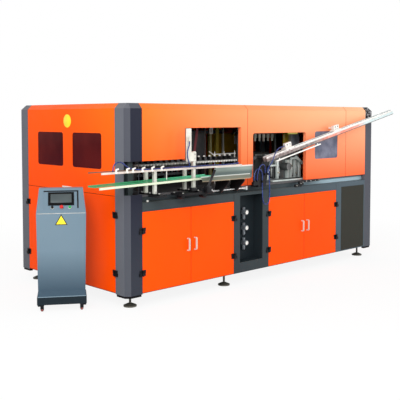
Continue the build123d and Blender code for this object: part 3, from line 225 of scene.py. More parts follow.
def seam(tree, colour, along, spot, shade):
    """Darkens a colour within 6 mm of the joint between two sheets."""
    return tint(tree, (("ABSOLUTE", ("SUBTRACT", along, spot)), *seam_fade, 0.0, 0.7), colour, shade)


cover_joints = (1.620, 3.570)
whole_length, upper_half, towards_front = (-0.15, 4.2), (1.0, 2.0), (0.9, -0.1)
orange, tree, surface, place, colour = powder_coat("glossy_orange_powder_coat", "#FF4F00", "#FD4C00", 0.36)
# Painted glare: paler high up and towards the front, paler still towards the right end.
painted_glare = ("MULTIPLY", ("Z", *upper_half, 0.0, 0.75), ("Y", *towards_front, 0.3, 1.0))
colour = tint(tree, painted_glare, colour, tint(tree, ("X", *whole_length), "#FF7218", "#FFD2A4"))
for joint_line in cover_joints:
    colour = seam(tree, colour, "X", joint_line, "#8A3A12")
put(tree, surface, {"Base Color": colour})
dress(orange, "front_cover_left", "front_cover_middle", "front_cover_right")
dress(orange, "left_end_cover", "right_end_panel", "rear_cover", "rear_lower_panel")

# Window panes. 5 mm cast acrylic: dark red in the left end cover, smoke grey in the
# front one, polished by the casting and a little dusty.
end_panes_to = 1.0
pane_height = (1.45, 1.75)
pane, tree, surface, place = new_material("tinted_acrylic_panes")
red = tint(tree, ("Z", *pane_height), "#420812", "#3C0507")
red = tint(tree, blotches(tree, place, 0.35, 0.0, 0.8), red, "#5A1414")
grey = tint(tree, blotches(tree, place, 0.11, 0.1, 0.9), "#54586A", "#848696")
put(tree, surface, {
    "Base Color": tint(tree, ("GREATER_THAN", "X", end_panes_to), red, grey),
    "Roughness": blotches(tree, place, 0.1, 0.06, 0.16),
    "IOR": 1.49, "Specular IOR Level": 0.04, "Transmission Weight": 0.03,
})
dress(pane, "window_panes")

# Utility section and vent section. Slate-coated trays; the recess holds the air
# regulators, the vent a dark punched plate.
dress(slate, "utility_panel", "vent_panel")
vent, tree, surface, place = new_material("punched_sheet_dark_coat")
put(tree, surface, {
    "Base Color": mottle(tree, place, 0.05, "#31312D", "#3B3B35"),
    "Roughness": blotches(tree, place, 0.03, 0.4, 0.6), "Specular IOR Level": 0.2,
})
relief(tree, surface, blotches(tree, place, 0.004), 0.0003, 0.4)
dress(vent, "vent_mesh")

# Filter mat behind the punched sheet: bonded dark olive fibre, 10 mm thick, cut 2 mm
# smaller than the sheet all round, with the fibres' grain on its face.


def only(piece):
    """Leaves one object selected and active, out of edit mode."""
    if bpy.context.mode != "OBJECT":
        bpy.ops.object.mode_set(mode="OBJECT")
    bpy.ops.object.select_all(action="DESELECT")
    piece.select_set(True)
    bpy.context.view_layer.objects.active = piece


def settle(piece, name, finish, body="machine"):
    """Puts a shaped piece's place into its mesh, then names, dresses and fixes it."""
    only(piece)
    bpy.ops.object.transform_apply(location=True, rotation=True, scale=True)
    bpy.ops.object.shade_smooth_by_angle(angle=0.6)
    piece.name = name
    piece.data.name = name
    piece.data.materials.clear()
    piece.data.materials.append(finish)
    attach(piece, body)


def turn(degrees, axis):
    """Turn by degrees about an axis of the machine."""
    return Matrix.Rotation(math.radians(degrees), 4, axis)


mat_thickness = 0.010
mat_margin = 0.004
to_front = turn(90, "X")
low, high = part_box("vent_mesh")
bpy.ops.object.select_all(action="DESELECT")
bpy.ops.mesh.primitive_grid_add(x_subdivisions=24, y_subdivisions=40, size=1, location=(0, 0, 0))
mat = bpy.context.object
mat.data.transform(Matrix.Diagonal((high[0] - low[0] - mat_margin, high[2] - low[2] - mat_margin, 1.0, 1.0)))
mat.data.transform(to_front)
mat.data.transform(Matrix.Translation(((low[0] + high[0]) / 2, high[1] + 0.0005, (low[2] + high[2]) / 2)))
thicken = mat.modifiers.new("mat_thickness", "SOLIDIFY")
thicken.thickness = -mat_thickness
bpy.ops.object.modifier_apply(modifier="mat_thickness")
fibre, tree, surface, place = new_material("bonded_fibre_filter_mat")
put(tree, surface, {
    "Base Color": mottle(tree, place, 0.003, "#30302C", "#3E3E38"),
    "Roughness": 0.95, "Specular IOR Level": 0.1,
})
relief(tree, surface, blotches(tree, place, 0.003), 0.001, 0.6)
settle(mat, "vent_filter_mat", fibre)

# Doors. Orange leaves with a silver bow handle and the black moving half of each
# lift-off hinge, all proud of the leaf's face.
leaf_foot = 0.158
leaf_top = (1.1485, 1.1495)
leaf_face = -0.1508
handle_middle = 0.585
handle_half = 0.09
door, tree, surface, place, colour = powder_coat("orange_leaf_with_fittings", "#FF4F00", "#FC4B00", 0.36)
# Painted shade: a dark red-brown line along the leaves' foot, above the sill.
colour = tint(tree, ("LESS_THAN", "Z", leaf_foot), colour, "#8A2A08")
colour = tint(tree, ("Z", *leaf_top), colour, "#5A1E06")
for along, meeting_edge in (("X", 0.723), ("X", 2.685), ("Y", 0.901)):
    colour = seam(tree, colour, along, meeting_edge, "#7A2A08")
proud = ("MAXIMUM", ("LESS_THAN", "Y", leaf_face), ("LESS_THAN", "X", leaf_face))
is_handle = ("LESS_THAN", ("ABSOLUTE", ("SUBTRACT", "Z", handle_middle)), handle_half)
fitting = tint(tree, is_handle, "#141416", "#C6B6AA")
put(tree, surface, {"Base Color": tint(tree, proud, colour, fitting)})
dress(door, "front_door_1", "front_door_2", "front_door_3", "front_door_4", "end_door_front", "end_door_rear")

# Fixed hinge halves, die cast and coated black with a fine grain; the chute's bracket
# and the console's selector have the same skin.


def black_part(name, main="#0D0D0F", shade="#1B1B1E", roughness=0.45):
    """Black moulded or coated part with fine grain and grey rubbed patches."""
    material, tree, surface, place = new_material(name)
    put(tree, surface, {
        "Base Color": mottle(tree, place, 0.03, main, shade), "Specular IOR Level": 0.15,
        "Roughness": blotches(tree, place, 0.015, roughness - 0.07, roughness + 0.1),
    })
    relief(tree, surface, blotches(tree, place, 0.002), 0.0002, 0.4)
    return material


black = black_part("black_grained_die_casting")
dress(black, "hinge_blocks", "chute_bracket", "selector_switch")

# Air regulators. Light grey diecast bodies with clear bowls and black knobs; the gauge
# in front of each has a white dial.
gauge_back = -0.070
regulator, tree, surface, place = new_material("diecast_regulator_with_gauge")
casting = mottle(tree, place, 0.02, "#7E858B", "#4B5056")
put(tree, surface, {
    "Base Color": tint(tree, ("LESS_THAN", "Y", gauge_back), casting, "#8F9498"),
    "Roughness": 0.38, "Metallic": 0.2,
})
dress(regulator, "air_regulators")

# Gauges of the regulators. Pressed grey bezel round a white printed dial with plain
# ticks, a thin needle and a turned boss, pushed on the front of each regulator.


def pick_faces(piece, wanted):
    """Goes into edit mode with just the faces that are wanted selected."""
    only(piece)
    bpy.ops.object.mode_set(mode="EDIT")
    bpy.ops.mesh.select_mode(type="FACE")
    bpy.ops.mesh.select_all(action="DESELECT")
    bpy.ops.object.mode_set(mode="OBJECT")
    for face in piece.data.polygons:
        face.select = bool(wanted(face))
    bpy.ops.object.mode_set(mode="EDIT")


def together(pieces):
    """Joins shaped pieces that share a finish."""
    only(pieces[0])
    for piece in pieces[1:]:
        piece.select_set(True)
    if len(pieces) > 1:
        bpy.ops.object.join()
    return pieces[0]


def repeat(model, places):
    """Sets copies of a modelled piece at each place, joined as one piece."""
    only(model)
    bpy.ops.object.transform_apply(location=True, rotation=True, scale=True)
    made = []
    for place in places:
        copy = model.copy()
        copy.data = model.data.copy()
        copy.data.transform(place)
        scene.collection.objects.link(copy)
        made.append(copy)
    bpy.data.objects.remove(model)
    return together(made)


def turned(radius, depth, sides=24, rim=0.0):
    """Round blank along Z, its two rims broken."""
    bpy.ops.object.select_all(action="DESELECT")
    middle = (0, 0, depth / 2)
    bpy.ops.mesh.primitive_cylinder_add(vertices=sides, radius=radius, depth=depth, location=middle)
    piece = bpy.context.object
    if rim:
        pick_faces(piece, lambda face: abs(face.normal.z) > 0.9)
        bpy.ops.mesh.bevel(offset=rim, segments=2, affect="EDGES")
    only(piece)
    bpy.ops.object.transform_apply(location=True, rotation=True, scale=True)
    return piece


def two_tone(name, size, first, second, roughness, others=None):
    """Moulded, printed or plated skin in two near colours, in drifts as large as size."""
    material, tree, surface, place = new_material(name)
    colour = mottle(tree, place, size, first, second)
    put(tree, surface, {"Base Color": colour, "Roughness": roughness, **(others or {})})
    return material


gauge_levels = (0.467, 0.647, 0.832)
tick_size = (0.0012, 0.005, 0.0006)
tick_radius, tick_height = 0.022, 0.0044
tick_count, first_tick, tick_step = 9, -130, 32.5
gauge_spots = [Matrix.Translation((1.695, -0.072, level)) @ to_front for level in gauge_levels]
bezel = turned(0.0285, 0.006, 32, 0.0012)
pick_faces(bezel, lambda face: face.normal.z > 0.9 and len(face.vertices) > 8)
bpy.ops.mesh.inset(thickness=0.004, depth=-0.003)
bezel_grey = black_part("gauge_grey_bezel", "#6E7377", "#565B60")
settle(repeat(bezel, gauge_spots), "gauge_bezels", bezel_grey)
dial = two_tone("gauge_printed_dial", 0.01, "#F2F1EC", "#E6E5DF", 0.3)
settle(repeat(turned(0.0225, 0.0042, 32, 0.0004), gauge_spots), "gauge_dials", dial)
needle = turned(0.0035, 0.0052, 12, 0.0004)
pick_faces(needle, lambda face: face.normal.y > 0.9)
bpy.ops.mesh.extrude_region_move(TRANSFORM_OT_translate={"value": (0, 0.017, 0)})
bpy.ops.object.mode_set(mode="OBJECT")
marks = [needle]
tick_shape = Matrix.Translation((0, tick_radius, tick_height)) @ Matrix.Diagonal((*tick_size, 1.0))
for step in range(tick_count):
    bpy.ops.object.select_all(action="DESELECT")
    bpy.ops.mesh.primitive_cube_add(size=1, location=(0, 0, 0))
    tick = bpy.context.object
    tick.data.transform(tick_shape)
    tick.data.transform(turn(first_tick + step * tick_step, "Z"))
    marks.append(tick)
ink = black_part("gauge_needle_ink")
settle(repeat(together(marks), gauge_spots), "gauge_needles", ink)

# Air tank. Welded shell in grey enamel, brushed out along its welds and a little
# glossier than the frame that it lies in.
dress(powder_coat("tank_grey_enamel", "#70777D", "#666C72", 0.35)[0], "air_tank")

# Clamp, moulds and blow head. Milled steel and aluminium, cutter marks a few
# millimetres apart, bright on the edges and oily between; the nozzles are pale.
nozzle_top = 1.7445
dress(ground_steel("milled_clamp_steel", "#6A6E6E", "#34383A", 0.4, 0.6), "clamp_frame", "stretch_beam")
mould_metal = ground_steel("milled_mould_aluminium", "#8E9290", "#5A5F60", 0.34, 0.7)
dress(mould_metal, "front_mould", "rear_mould", "base_mould")
nozzle, tree, surface, place = new_material("blow_plate_with_pale_nozzles")
plate_tint = mottle(tree, place, 0.05, "#55595B", "#383B3D")
colour = tint(tree, ("LESS_THAN", "Z", nozzle_top), plate_tint, "#F4EFE0")
put(tree, surface, {"Base Color": colour, "Roughness": 0.4})
dress(nozzle, "blow_head")

# Gripper bar. Blackened bar and bodies, bright jaws in front, and a white wear cap
# turned from plastic on each body.
jaw_face, jaw_top = 0.0645, 1.4635
gripper_count, gripper_step = 18, 0.084
gripper, tree, surface, place = new_material("blackened_bar_with_bright_jaws")
bar_tint = mottle(tree, place, 0.03, "#0C0C0E", "#1C1C1F")
jaws = ("MULTIPLY", ("LESS_THAN", "Y", jaw_face), ("LESS_THAN", "Z", jaw_top))
put(tree, surface, {"Base Color": tint(tree, jaws, bar_tint, "#E4E3DD"), "Metallic": 0.3, "Roughness": 0.42})
dress(gripper, "gripper_bar")
white_plastic = two_tone(
    "white_moulded_fittings", 0.01, "#E9E6DF", "#D5D1C9", 0.4, {"Specular IOR Level": 0.3}
)
cap_spots = [
    Matrix.Translation((0.132 + gripper_step * number, 0.080, 1.506)) for number in range(gripper_count)
]
wear_caps = repeat(turned(0.013, 0.016, 16, 0.004), cap_spots)
settle(wear_caps, "gripper_wear_caps", white_plastic, "gripper_bar")

# Front of the clamp. Milled ribs bolted to the fixed platen with dark cover plates
# between them, small air cylinders and their brass-coloured fittings.


def milled(low, high, edge=0.0015):
    """Block between two corners with its edges broken by the cutter."""
    low, high = Vector(low), Vector(high)
    bpy.ops.object.select_all(action="DESELECT")
    bpy.ops.mesh.primitive_cube_add(size=1, location=(low + high) / 2)
    piece = bpy.context.object
    piece.scale = high - low
    only(piece)
    bpy.ops.object.transform_apply(location=True, rotation=True, scale=True)
    bpy.ops.object.mode_set(mode="EDIT")
    bpy.ops.mesh.select_all(action="SELECT")
    bpy.ops.mesh.bevel(offset=edge, segments=2, affect="EDGES")
    bpy.ops.object.mode_set(mode="OBJECT")
    return piece


def round_bar(start, end, radius, sides=16, rim=0.0006):
    """Round bar from one point to another with broken rims."""
    start, end = Vector(start), Vector(end)
    piece = turned(radius, (end - start).length, sides, rim)
    lay = (end - start).to_track_quat("Z", "Y").to_matrix().to_4x4()
    piece.data.transform(Matrix.Translation(start) @ lay)
    return piece


platen_face = 0.0998
rib_face = 0.060
rib_foot, rib_top = 1.181, 1.412
cylinder_y = 0.075
cylinder_foot, cylinder_top, rod_top = 1.215, 1.318, 1.345
rib_places = ((2.214, 0.030), (2.395, 0.036), (2.602, 0.036), (2.664, 0.030), (2.744, 0.040), (2.832, 0.040))
cylinder_places = (2.300, 2.450, 2.715, 2.805)
fitting_places = (
    (2.229, 1.300), (2.413, 1.260), (2.620, 1.310), (2.764, 1.240), (2.852, 1.290), (2.679, 1.340),
)
rib_steel = ground_steel("bright_milled_rib_steel", "#D3DCD8", "#8C9894", 0.42, 0.05)
ribs = [milled((x, rib_face, rib_foot), (x + wide, platen_face, rib_top), 0.002) for x, wide in rib_places]
ribs += [
    milled((2.206, 0.070, 1.342), (2.450, platen_face, 1.362), 0.002),
    round_bar((2.655, 0.050, 1.428), (2.800, 0.050, 1.433), 0.016),
    round_bar((2.730, 0.030, 1.452), (2.868, 0.030, 1.362), 0.018),
]
settle(together(ribs), "clamp_front_ribs", rib_steel)
ledge = milled((2.150, -0.085, 1.1655), (2.860, -0.045, 1.1815), 0.002)
settle(ledge, "clamp_front_ledge", rib_steel)
black_cover = black_part("clamp_black_cover_plates", "#1C1D1F", "#2A2B2E", 0.35)
covers = [milled((x, 0.085, 1.19), (x + 0.094, platen_face, 1.335)) for x in (2.253, 2.393, 2.685)]
covers.append(milled((2.640, 0.085, 1.44), (2.720, platen_face, 1.49)))
settle(together(covers), "clamp_cover_plates", black_cover)
tube_and_rod = ((cylinder_foot, cylinder_top, 0.013, 16), (cylinder_top, rod_top, 0.005, 10))
small_cylinders = [
    round_bar((x, cylinder_y, low), (x, cylinder_y, high), radius, sides)
    for low, high, radius, sides in tube_and_rod
    for x in cylinder_places
]
settle(together(small_cylinders), "clamp_small_cylinders", mould_metal)
brass = two_tone("nickel_plated_brass_fittings", 0.01, "#CFC9B8", "#A79C80", 0.28, {"Metallic": 0.8})
fitting = together([turned(0.009, 0.012, 6, 0.0012), turned(0.0075, 0.022, 16, 0.001)])
fitting_spots = [Matrix.Translation((x, rib_face, z)) @ to_front for x, z in fitting_places]
settle(repeat(fitting, fitting_spots), "clamp_fittings", brass)

# Oven housing and lamps, spindles and amber guards. Folded stainless, turned steel and tinted polycarbonate
# screens; the stainless sheet is coloured near black as painted shade inside the machine, and the service
# columns have colours of their own.
column_tints = (
    (1.770, 1.796, "#6E5A55"), (1.858, 1.904, "#9A9263"),
    (1.968, 2.034, "#9C8628"), (2.097, 2.127, "#B9B6AE"),
)
oven, tree, surface, place = new_material("oven_sheet_and_service_columns")
# Painted shade: the stainless sheet is coloured near black, as the inside of the machine is in shade.
colour = mottle(tree, place, 0.14, "#2C2C2D", "#17171A")
for start, end, column_tint in column_tints:
    within = ("MULTIPLY", ("GREATER_THAN", "X", start), ("LESS_THAN", "X", end))
    colour = tint(tree, within, colour, column_tint)
put(tree, surface, {
    "Base Color": colour, "Metallic": 0.3, "Roughness": blotches(tree, place, 0.06, 0.35, 0.5),
})
relief(tree, surface, blotches(tree, place, 0.01), 0.0004, 0.3)
dress(oven, "oven_housing")
dress(ground_steel("turned_spindle_steel", "#4A4C4E", "#2A2B2D", 0.4, 0.85), "spindle_loop")
far_guards, last_guard = (3.0, 3.1), (3.45, 3.60)
amber, tree, surface, place = new_material("amber_polycarbonate")
olive_tint = tint(tree, ("X", *last_guard), "#5E5626", "#54545C")
put(tree, surface, {
    "Base Color": tint(tree, ("X", *far_guards), mottle(tree, place, 0.2, "#B48A0C", "#946E06"), olive_tint),
    "Specular IOR Level": 0.25, "Transmission Weight": 0.1, "Roughness": 0.2,
})
dress(amber, "amber_guards")

# Fittings seen through the work windows: a red strap that ties the transfer rail to the
# roof, a thin white probe rail on stems behind the rail, and white caps on the columns.
strap_length, strap_lean = 0.600, 9.6
probe_y, probe_z = 0.212, 1.519
strap = milled((-0.018, -0.003, 0.0), (0.018, 0.003, strap_length), 0.001)
strap.data.transform(Matrix.Translation((1.057, 0.170, 1.476)) @ turn(strap_lean, "Y"))
red_strap, tree, surface, place = new_material("woven_red_strap")
ribbed = add(tree, "ShaderNodeTexWave", {"Scale": 160.0, "Distortion": 0.5, "Vector": place}).outputs[0]
put(tree, surface, {"Base Color": tint(tree, ribbed, "#4A0F1A", "#6E1C26"), "Roughness": 0.7})
relief(tree, surface, ribbed, 0.0004, 0.4)
settle(strap, "rail_tie_strap", red_strap)
probe_rail = [
    round_bar((1.405, probe_y, probe_z), (1.800, probe_y, probe_z), 0.006, 12),
    round_bar((1.347, probe_y, 1.557), (1.408, probe_y, probe_z), 0.006, 12),
]
probe_rail += [round_bar((x, probe_y, 1.166), (x, probe_y, 1.552), 0.005, 12) for x in (1.440, 1.598, 1.780)]
settle(together(probe_rail), "white_probe_rail", white_plastic)
column_caps = together([
    milled((1.852, 0.714, 1.745), (1.907, 0.7299, 1.835), 0.004),
    milled((1.866, 0.700, 1.770), (1.890, 0.716, 1.810), 0.003),
])
settle(column_caps, "service_column_caps", white_plastic)
latch = together([
    milled((2.640, 1.036, 1.590), (2.676, 1.0498, 1.700), 0.005),
    round_bar((2.658, 1.030, 1.640), (2.658, 1.045, 1.640), 0.020),
])
settle(latch, "amber_guard_latch", white_plastic)
filler_strip = milled((2.416, -0.1045, 1.748), (2.598, -0.090, 1.7695), 0.002)
lime = two_tone("lime_moulded_strip", 0.02, "#B9BD4E", "#9DA23C", 0.5)
settle(filler_strip, "window_edge_strip", lime)

# Guard panes behind the clamp window: an olive and a smoke grey acrylic pane that hang
# from a black angle on the back of the cover.
pane_back, pane_front = 0.0640, 0.0600
pane_top = 1.7735
panes_meet = (2.600, 2.680)
guard_panes = [
    milled((left, pane_front, foot), (right, pane_back, pane_top), 0.0008)
    for left, right, foot in ((2.511, 2.648, 1.548), (2.652, 2.840, 1.536))
]
acrylic, tree, surface, place = new_material("olive_and_grey_acrylic")
olive = mottle(tree, place, 0.08, "#7A6C16", "#544A12")
smoke = mottle(tree, place, 0.08, "#74787E", "#4A4E53")
colour = tint(tree, ("X", *panes_meet), olive, smoke)
put(tree, surface, {"Base Color": colour, "Roughness": 0.2, "Specular IOR Level": 0.2})
settle(together(guard_panes), "clamp_window_guards", acrylic)
angle = milled((2.505, -0.1465, pane_top), (2.846, 0.0660, 1.7785), 0.001)
settle(angle, "clamp_window_angle", black)

# Outlet conveyor and chute. Clear-anodised aluminium uprights and rails on black foot
# bars, with a green plastic wear strip, a chromed guide rod and polished chute plates.


def drawn_skin(tree, surface, place, colour, metallic, low=0.35, high=0.5):
    """Skin of a drawn and anodised or polished profile, in a colour of its own."""
    put(tree, surface, {
        "Base Color": colour, "Metallic": metallic, "Specular IOR Level": 0.3,
        "Roughness": blotches(tree, place, 0.03, low, high),
    })
    relief(tree, surface, blotches(tree, place, 0.003), 0.0001, 0.3)


def anodised(name, light, shade, foot_level=None):
    """Matt anodised profile, black below a level if one is given."""
    material, tree, surface, place = new_material(name)
    colour = mottle(tree, place, 0.08, light, shade)
    if foot_level is not None:
        colour = tint(tree, ("LESS_THAN", "Z", foot_level), colour, "#161617")
    drawn_skin(tree, surface, place, colour, 0.25)
    return material


foot_bar_top = 1.1805
dress(anodised("anodised_upright_profiles", "#CFD0C6", "#B9BAB0", foot_bar_top), "conveyor_stands")
dress(anodised("anodised_sensor_mast", "#D5D3C9", "#C0BEB5"), "sensor_mast")
neck_rail_foot = (1.385, 1.380)
rear_rail_from = -0.200
rails, tree, surface, place = new_material("anodised_guide_rails")
colour = tint(tree, ("Z", *neck_rail_foot), mottle(tree, place, 0.12, "#D3C8BE", "#BDB2AA"), "#CDD6BC")
colour = tint(tree, ("GREATER_THAN", "Y", rear_rail_from), colour, "#6E5446")
drawn_skin(tree, surface, place, colour, 0.1)
dress(rails, "guide_rails")
chute_slope, chute_rise = -0.21256, -1.10627
red_run, pale_run, stained_run = (2.75, 3.05), (3.60, 3.85), (2.50, 2.30)
chute, tree, surface, place = new_material("polished_chute_plates")
from_top = reckon(tree, ("ADD", "Z", ("MULTIPLY_ADD", "X", chute_slope, chute_rise)))
# Painted reflection: a band along the side, dark at first, then red, then pale blue-grey along the chute.
reflection_band = tint(tree, ("X", *red_run), "#5E4A48", "#D0664A")
reflection_band = tint(tree, ("X", *pale_run), reflection_band, "#B7CACC")
reflection_band = tint(tree, blotches(tree, place, 0.05, 0.0, 0.35), reflection_band, "#D9D4CE")
edge_light = mottle(tree, place, 0.15, "#DAD9D4", "#C6C5C0")
stained = mottle(tree, place, 0.035, "#6E5F5E", "#EFE6E2")
edge_light = tint(tree, ("X", *stained_run), edge_light, stained)
# Painted highlight: a pale line just below the top edge.
top_highlight = mottle(tree, place, 0.2, "#F2EFEA", "#D9D4CE")
colour = tint(tree, (from_top, -0.010, -0.006), edge_light, top_highlight)
# Painted shade in a dark line lower down, and a painted highlight in a thin pale line under it.
for start, end, layer in ((-0.020, -0.026, reflection_band), (-0.054, -0.058, "#4A4442"), (-0.066, -0.067, "#E4E3DE")):
    colour = tint(tree, (from_top, start, end), colour, layer)
drawn_skin(tree, surface, place, colour, 0.2, 0.3, 0.45)
dress(chute, "preform_chute")
lit_run = (0.1, 0.95)
green, tree, surface, place = new_material("green_slip_plastic")
put(tree, surface, {
    "Base Color": tint(tree, ("X", *lit_run), mottle(tree, place, 0.06, "#2A8C58", "#379C68"), "#5CCDA0"),
    "Roughness": blotches(tree, place, 0.02, 0.32, 0.46), "Subsurface Weight": 0.05,
})
dress(green, "bottle_channel")
clamp_ends = (0.991, 1.574)
rod, tree, surface, place = new_material("chromed_bar_in_black_clamps")
clamped = ("MAXIMUM", ("LESS_THAN", "X", clamp_ends[0]), ("GREATER_THAN", "X", clamp_ends[1]))
colour = tint(tree, clamped, mottle(tree, place, 0.05, "#D6D8D8", "#BFC2C3"), "#141416")
put(tree, surface, {"Base Color": colour, "Metallic": 0.4, "Roughness": 0.3})
dress(rod, "guide_rod")

# Screws of the conveyor. Zinc-plated socket heads that hold the rails to the uprights
# and the foot bars to the bed, with dark hexagon sockets.
rail_screw_y, low_screw_y, mast_screw_y = -0.279, -0.267, -0.275
zinc = anodised("zinc_plated_screws", "#C9C9C4", "#A3A39D")
screw = turned(0.009, 0.008, 12, 0.0008)
pick_faces(screw, lambda face: face.normal.z > 0.9 and len(face.vertices) > 8)
bpy.ops.mesh.inset(thickness=0.004, depth=0)
bpy.ops.mesh.extrude_region_move(TRANSFORM_OT_translate={"value": (0, 0, -0.005)})
screw_spots = []
for x in (0.127, 0.666):
    screw_spots.append(Matrix.Translation((x, rail_screw_y, 1.418)) @ to_front)
    screw_spots.append(Matrix.Translation((x, low_screw_y, 1.200)) @ to_front)
    screw_spots += [Matrix.Translation((x, y, 1.180)) for y in (-0.325, -0.175, -0.045)]
screw_spots += [Matrix.Translation((0.666, mast_screw_y, z)) @ to_front for z in (1.520, 1.565)]
settle(repeat(screw, screw_spots), "conveyor_screws", zinc)

# Bottle trough, folded from brushed stainless sheet. Its lip, inner lip and lower fold are painted
# highlights, its inside is cooler and darker lower down as painted shade, and its underside is painted black
# as shadow.
lip = (1.315, 1.320)
lower_fold = (1.279, 1.276)
inner_lip, inner_wall = (1.390, 1.394), (1.335, 1.365)
inside_from = -0.262
underside = 1.262
trough, tree, surface, place = new_material("brushed_stainless_trough")
lines = drawn_lines(tree, place, 3.0, 300.0)
# Painted highlights: pale along the lip and tan along the lower fold.
outer = tint(tree, ("Z", *lip), mottle(tree, place, 0.2, "#666C5F", "#767B6D"), "#C9D2CC")
outer = tint(tree, ("Z", *lower_fold), outer, "#A3967C")
# Painted shade inside, darker lower down, and a painted highlight on the inner lip.
inner = tint(tree, ("Z", *inner_lip), tint(tree, ("Z", *inner_wall), "#566562", "#87968F"), "#DAD8D0")
colour = tint(tree, ("GREATER_THAN", "Y", inside_from), outer, inner)
put(tree, surface, {
    # Painted shadow: nearly black below the underside level.
    "Base Color": tint(tree, ("LESS_THAN", "Z", underside), colour, "#0E0E0F"),
    "Metallic": 0.3, "Roughness": (lines, 0.3, 0.7, 0.3, 0.55),
})
relief(tree, surface, lines, 0.0001, 0.3)
dress(trough, "bottle_trough")

# Chute cover. Extruded clear polycarbonate strip, which is pale blue-green where it is
# seen on edge.
clear = two_tone("clear_polycarbonate_strip", 0.3, "#B4D2DC", "#9CC0CB", 0.12, {"Transmission Weight": 0.35})
dress(clear, "chute_cover")

# Air hoses. 12 mm blue polyurethane tube, extruded, so smooth with a soft sheen. Each
# runs along the route that its solid has.
hose_diameter = 0.012
hose_blue, tree, surface, place = new_material("blue_polyurethane_hose")
put(tree, surface, {
    "Base Color": mottle(tree, place, 0.05, "#0B1E58", "#16337E"),
    "Roughness": blotches(tree, place, 0.02, 0.22, 0.34), "Subsurface Weight": 0.1,
})


def hose(name, node, points):
    """A hose through points as one smooth spline, fixed at both ends."""
    curve = bpy.data.curves.new(name, "CURVE")
    curve.dimensions = "3D"
    spline = curve.splines.new("NURBS")
    spline.points.add(len(points) - 1)
    for spot, point in zip(spline.points, points):
        spot.co = (*point, 1.0)
    spline.order_u = 3
    spline.use_endpoint_u = True
    spline.resolution_u = 8
    curve.bevel_depth = hose_diameter / 2
    curve.bevel_resolution = 4
    curve.use_fill_caps = True
    piece = bpy.data.objects.new(name, curve)
    scene.collection.objects.link(piece)
    curve.materials.append(hose_blue)
    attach(piece, "machine")
    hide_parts(node)


hose("neck_rail_hose", "rail_air_hose", [
    (-0.412, -0.273, 1.428), (-0.412, -0.273, 1.468), (-0.390, -0.273, 1.506), (-0.346, -0.273, 1.524),
    (-0.296, -0.273, 1.514), (-0.256, -0.273, 1.482), (-0.210, -0.273, 1.454), (-0.130, -0.273, 1.439),
    (0.010, -0.273, 1.434), (0.180, -0.273, 1.434), (0.350, -0.276, 1.437), (0.520, -0.288, 1.438),
    (0.690, -0.289, 1.436), (0.860, -0.277, 1.439), (1.030, -0.273, 1.434), (1.190, -0.273, 1.434),
    (1.350, -0.269, 1.443),
])
hose("sensor_mast_hose", "mast_air_hose", [
    (0.577, -0.286, 1.704), (0.577, -0.286, 1.670), (0.558, -0.286, 1.632), (0.544, -0.286, 1.586),
    (0.547, -0.286, 1.538), (0.566, -0.286, 1.490), (0.588, -0.273, 1.458), (0.588, -0.273, 1.428),
])
hose("chute_hanging_hose", "chute_air_hose", [
    (1.908, -0.231, 1.360), (1.908, -0.231, 1.255), (1.914, -0.236, 1.145), (1.912, -0.240, 1.055),
    (1.906, -0.242, 0.990), (1.890, -0.243, 0.945), (1.848, -0.243, 0.926), (1.806, -0.242, 0.945),
    (1.789, -0.240, 0.990), (1.786, -0.237, 1.052), (1.792, -0.231, 1.125), (1.792, -0.231, 1.190),
])
hose("valve_inner_hose", "chute_air_hose", [
    (1.650, -0.231, 1.222), (1.650, -0.231, 1.262), (1.656, -0.231, 1.306), (1.680, -0.231, 1.344),
    (1.721, -0.231, 1.358), (1.762, -0.231, 1.344), (1.786, -0.231, 1.306), (1.792, -0.231, 1.262),
    (1.792, -0.231, 1.216),
])
hose("valve_outer_hose", "chute_air_hose", [
    (1.700, -0.231, 1.222), (1.700, -0.231, 1.262), (1.699, -0.243, 1.306), (1.706, -0.250, 1.350),
    (1.730, -0.251, 1.390), (1.771, -0.250, 1.408), (1.813, -0.246, 1.395), (1.840, -0.231, 1.348),
    (1.840, -0.231, 1.301),
])
hose("chute_sensor_hose", "chute_air_hose", [
    (1.880, -0.231, 1.301), (1.880, -0.231, 1.334), (1.881, -0.250, 1.370), (1.888, -0.278, 1.406),
    (1.900, -0.297, 1.450), (1.920, -0.300, 1.500), (1.954, -0.296, 1.546), (2.002, -0.284, 1.580),
    (2.060, -0.266, 1.596), (2.1238, -0.250, 1.6017), (2.1679, -0.250, 1.6110),
])

# Fittings at the left end of the neck rail: white push-in elbows, each on its own small
# seat that is screwed to the front of the rail, where the blue hose starts.
elbow_places = (-0.388, -0.256, -0.182, -0.062, 0.060, 0.185)
elbow = together([
    milled((-0.010, -0.0100, -0.016), (0.010, 0.0130, 0.001), 0.001),
    turned(0.0095, 0.026, 6, 0.001), round_bar((0, 0, 0.022), (0.026, -0.007, 0.030), 0.008, 14),
])
elbow_spots = [Matrix.Translation((x, -0.2920, 1.428)) for x in elbow_places]
settle(repeat(elbow, elbow_spots), "neck_rail_elbows", white_plastic)
stem = round_bar((0.278, -0.262, 1.316), (0.278, -0.262, 1.4075), 0.004, 12)
settle(stem, "neck_rail_stem", white_plastic)

# Hinge leaves. Flat cast leaves that cover the whole height of each hinge, one on the
# post or frame and one on the door.
leaf_reach = (0.010, 0.040)
leaf_low, leaf_high = -0.1550, -0.1500
leaf_half = 0.031
front_levels, end_levels = (0.360, 0.797), (0.360, 0.959)
hinged_doors = (
    ("front_door_1", 0.046, 1, front_levels), ("front_door_2", 1.395, -1, front_levels),
    ("front_door_3", 2.001, 1, front_levels), ("front_door_4", 3.363, -1, front_levels),
    ("end_door_front", 0.046, 1, end_levels), ("end_door_rear", 1.754, -1, end_levels),
)


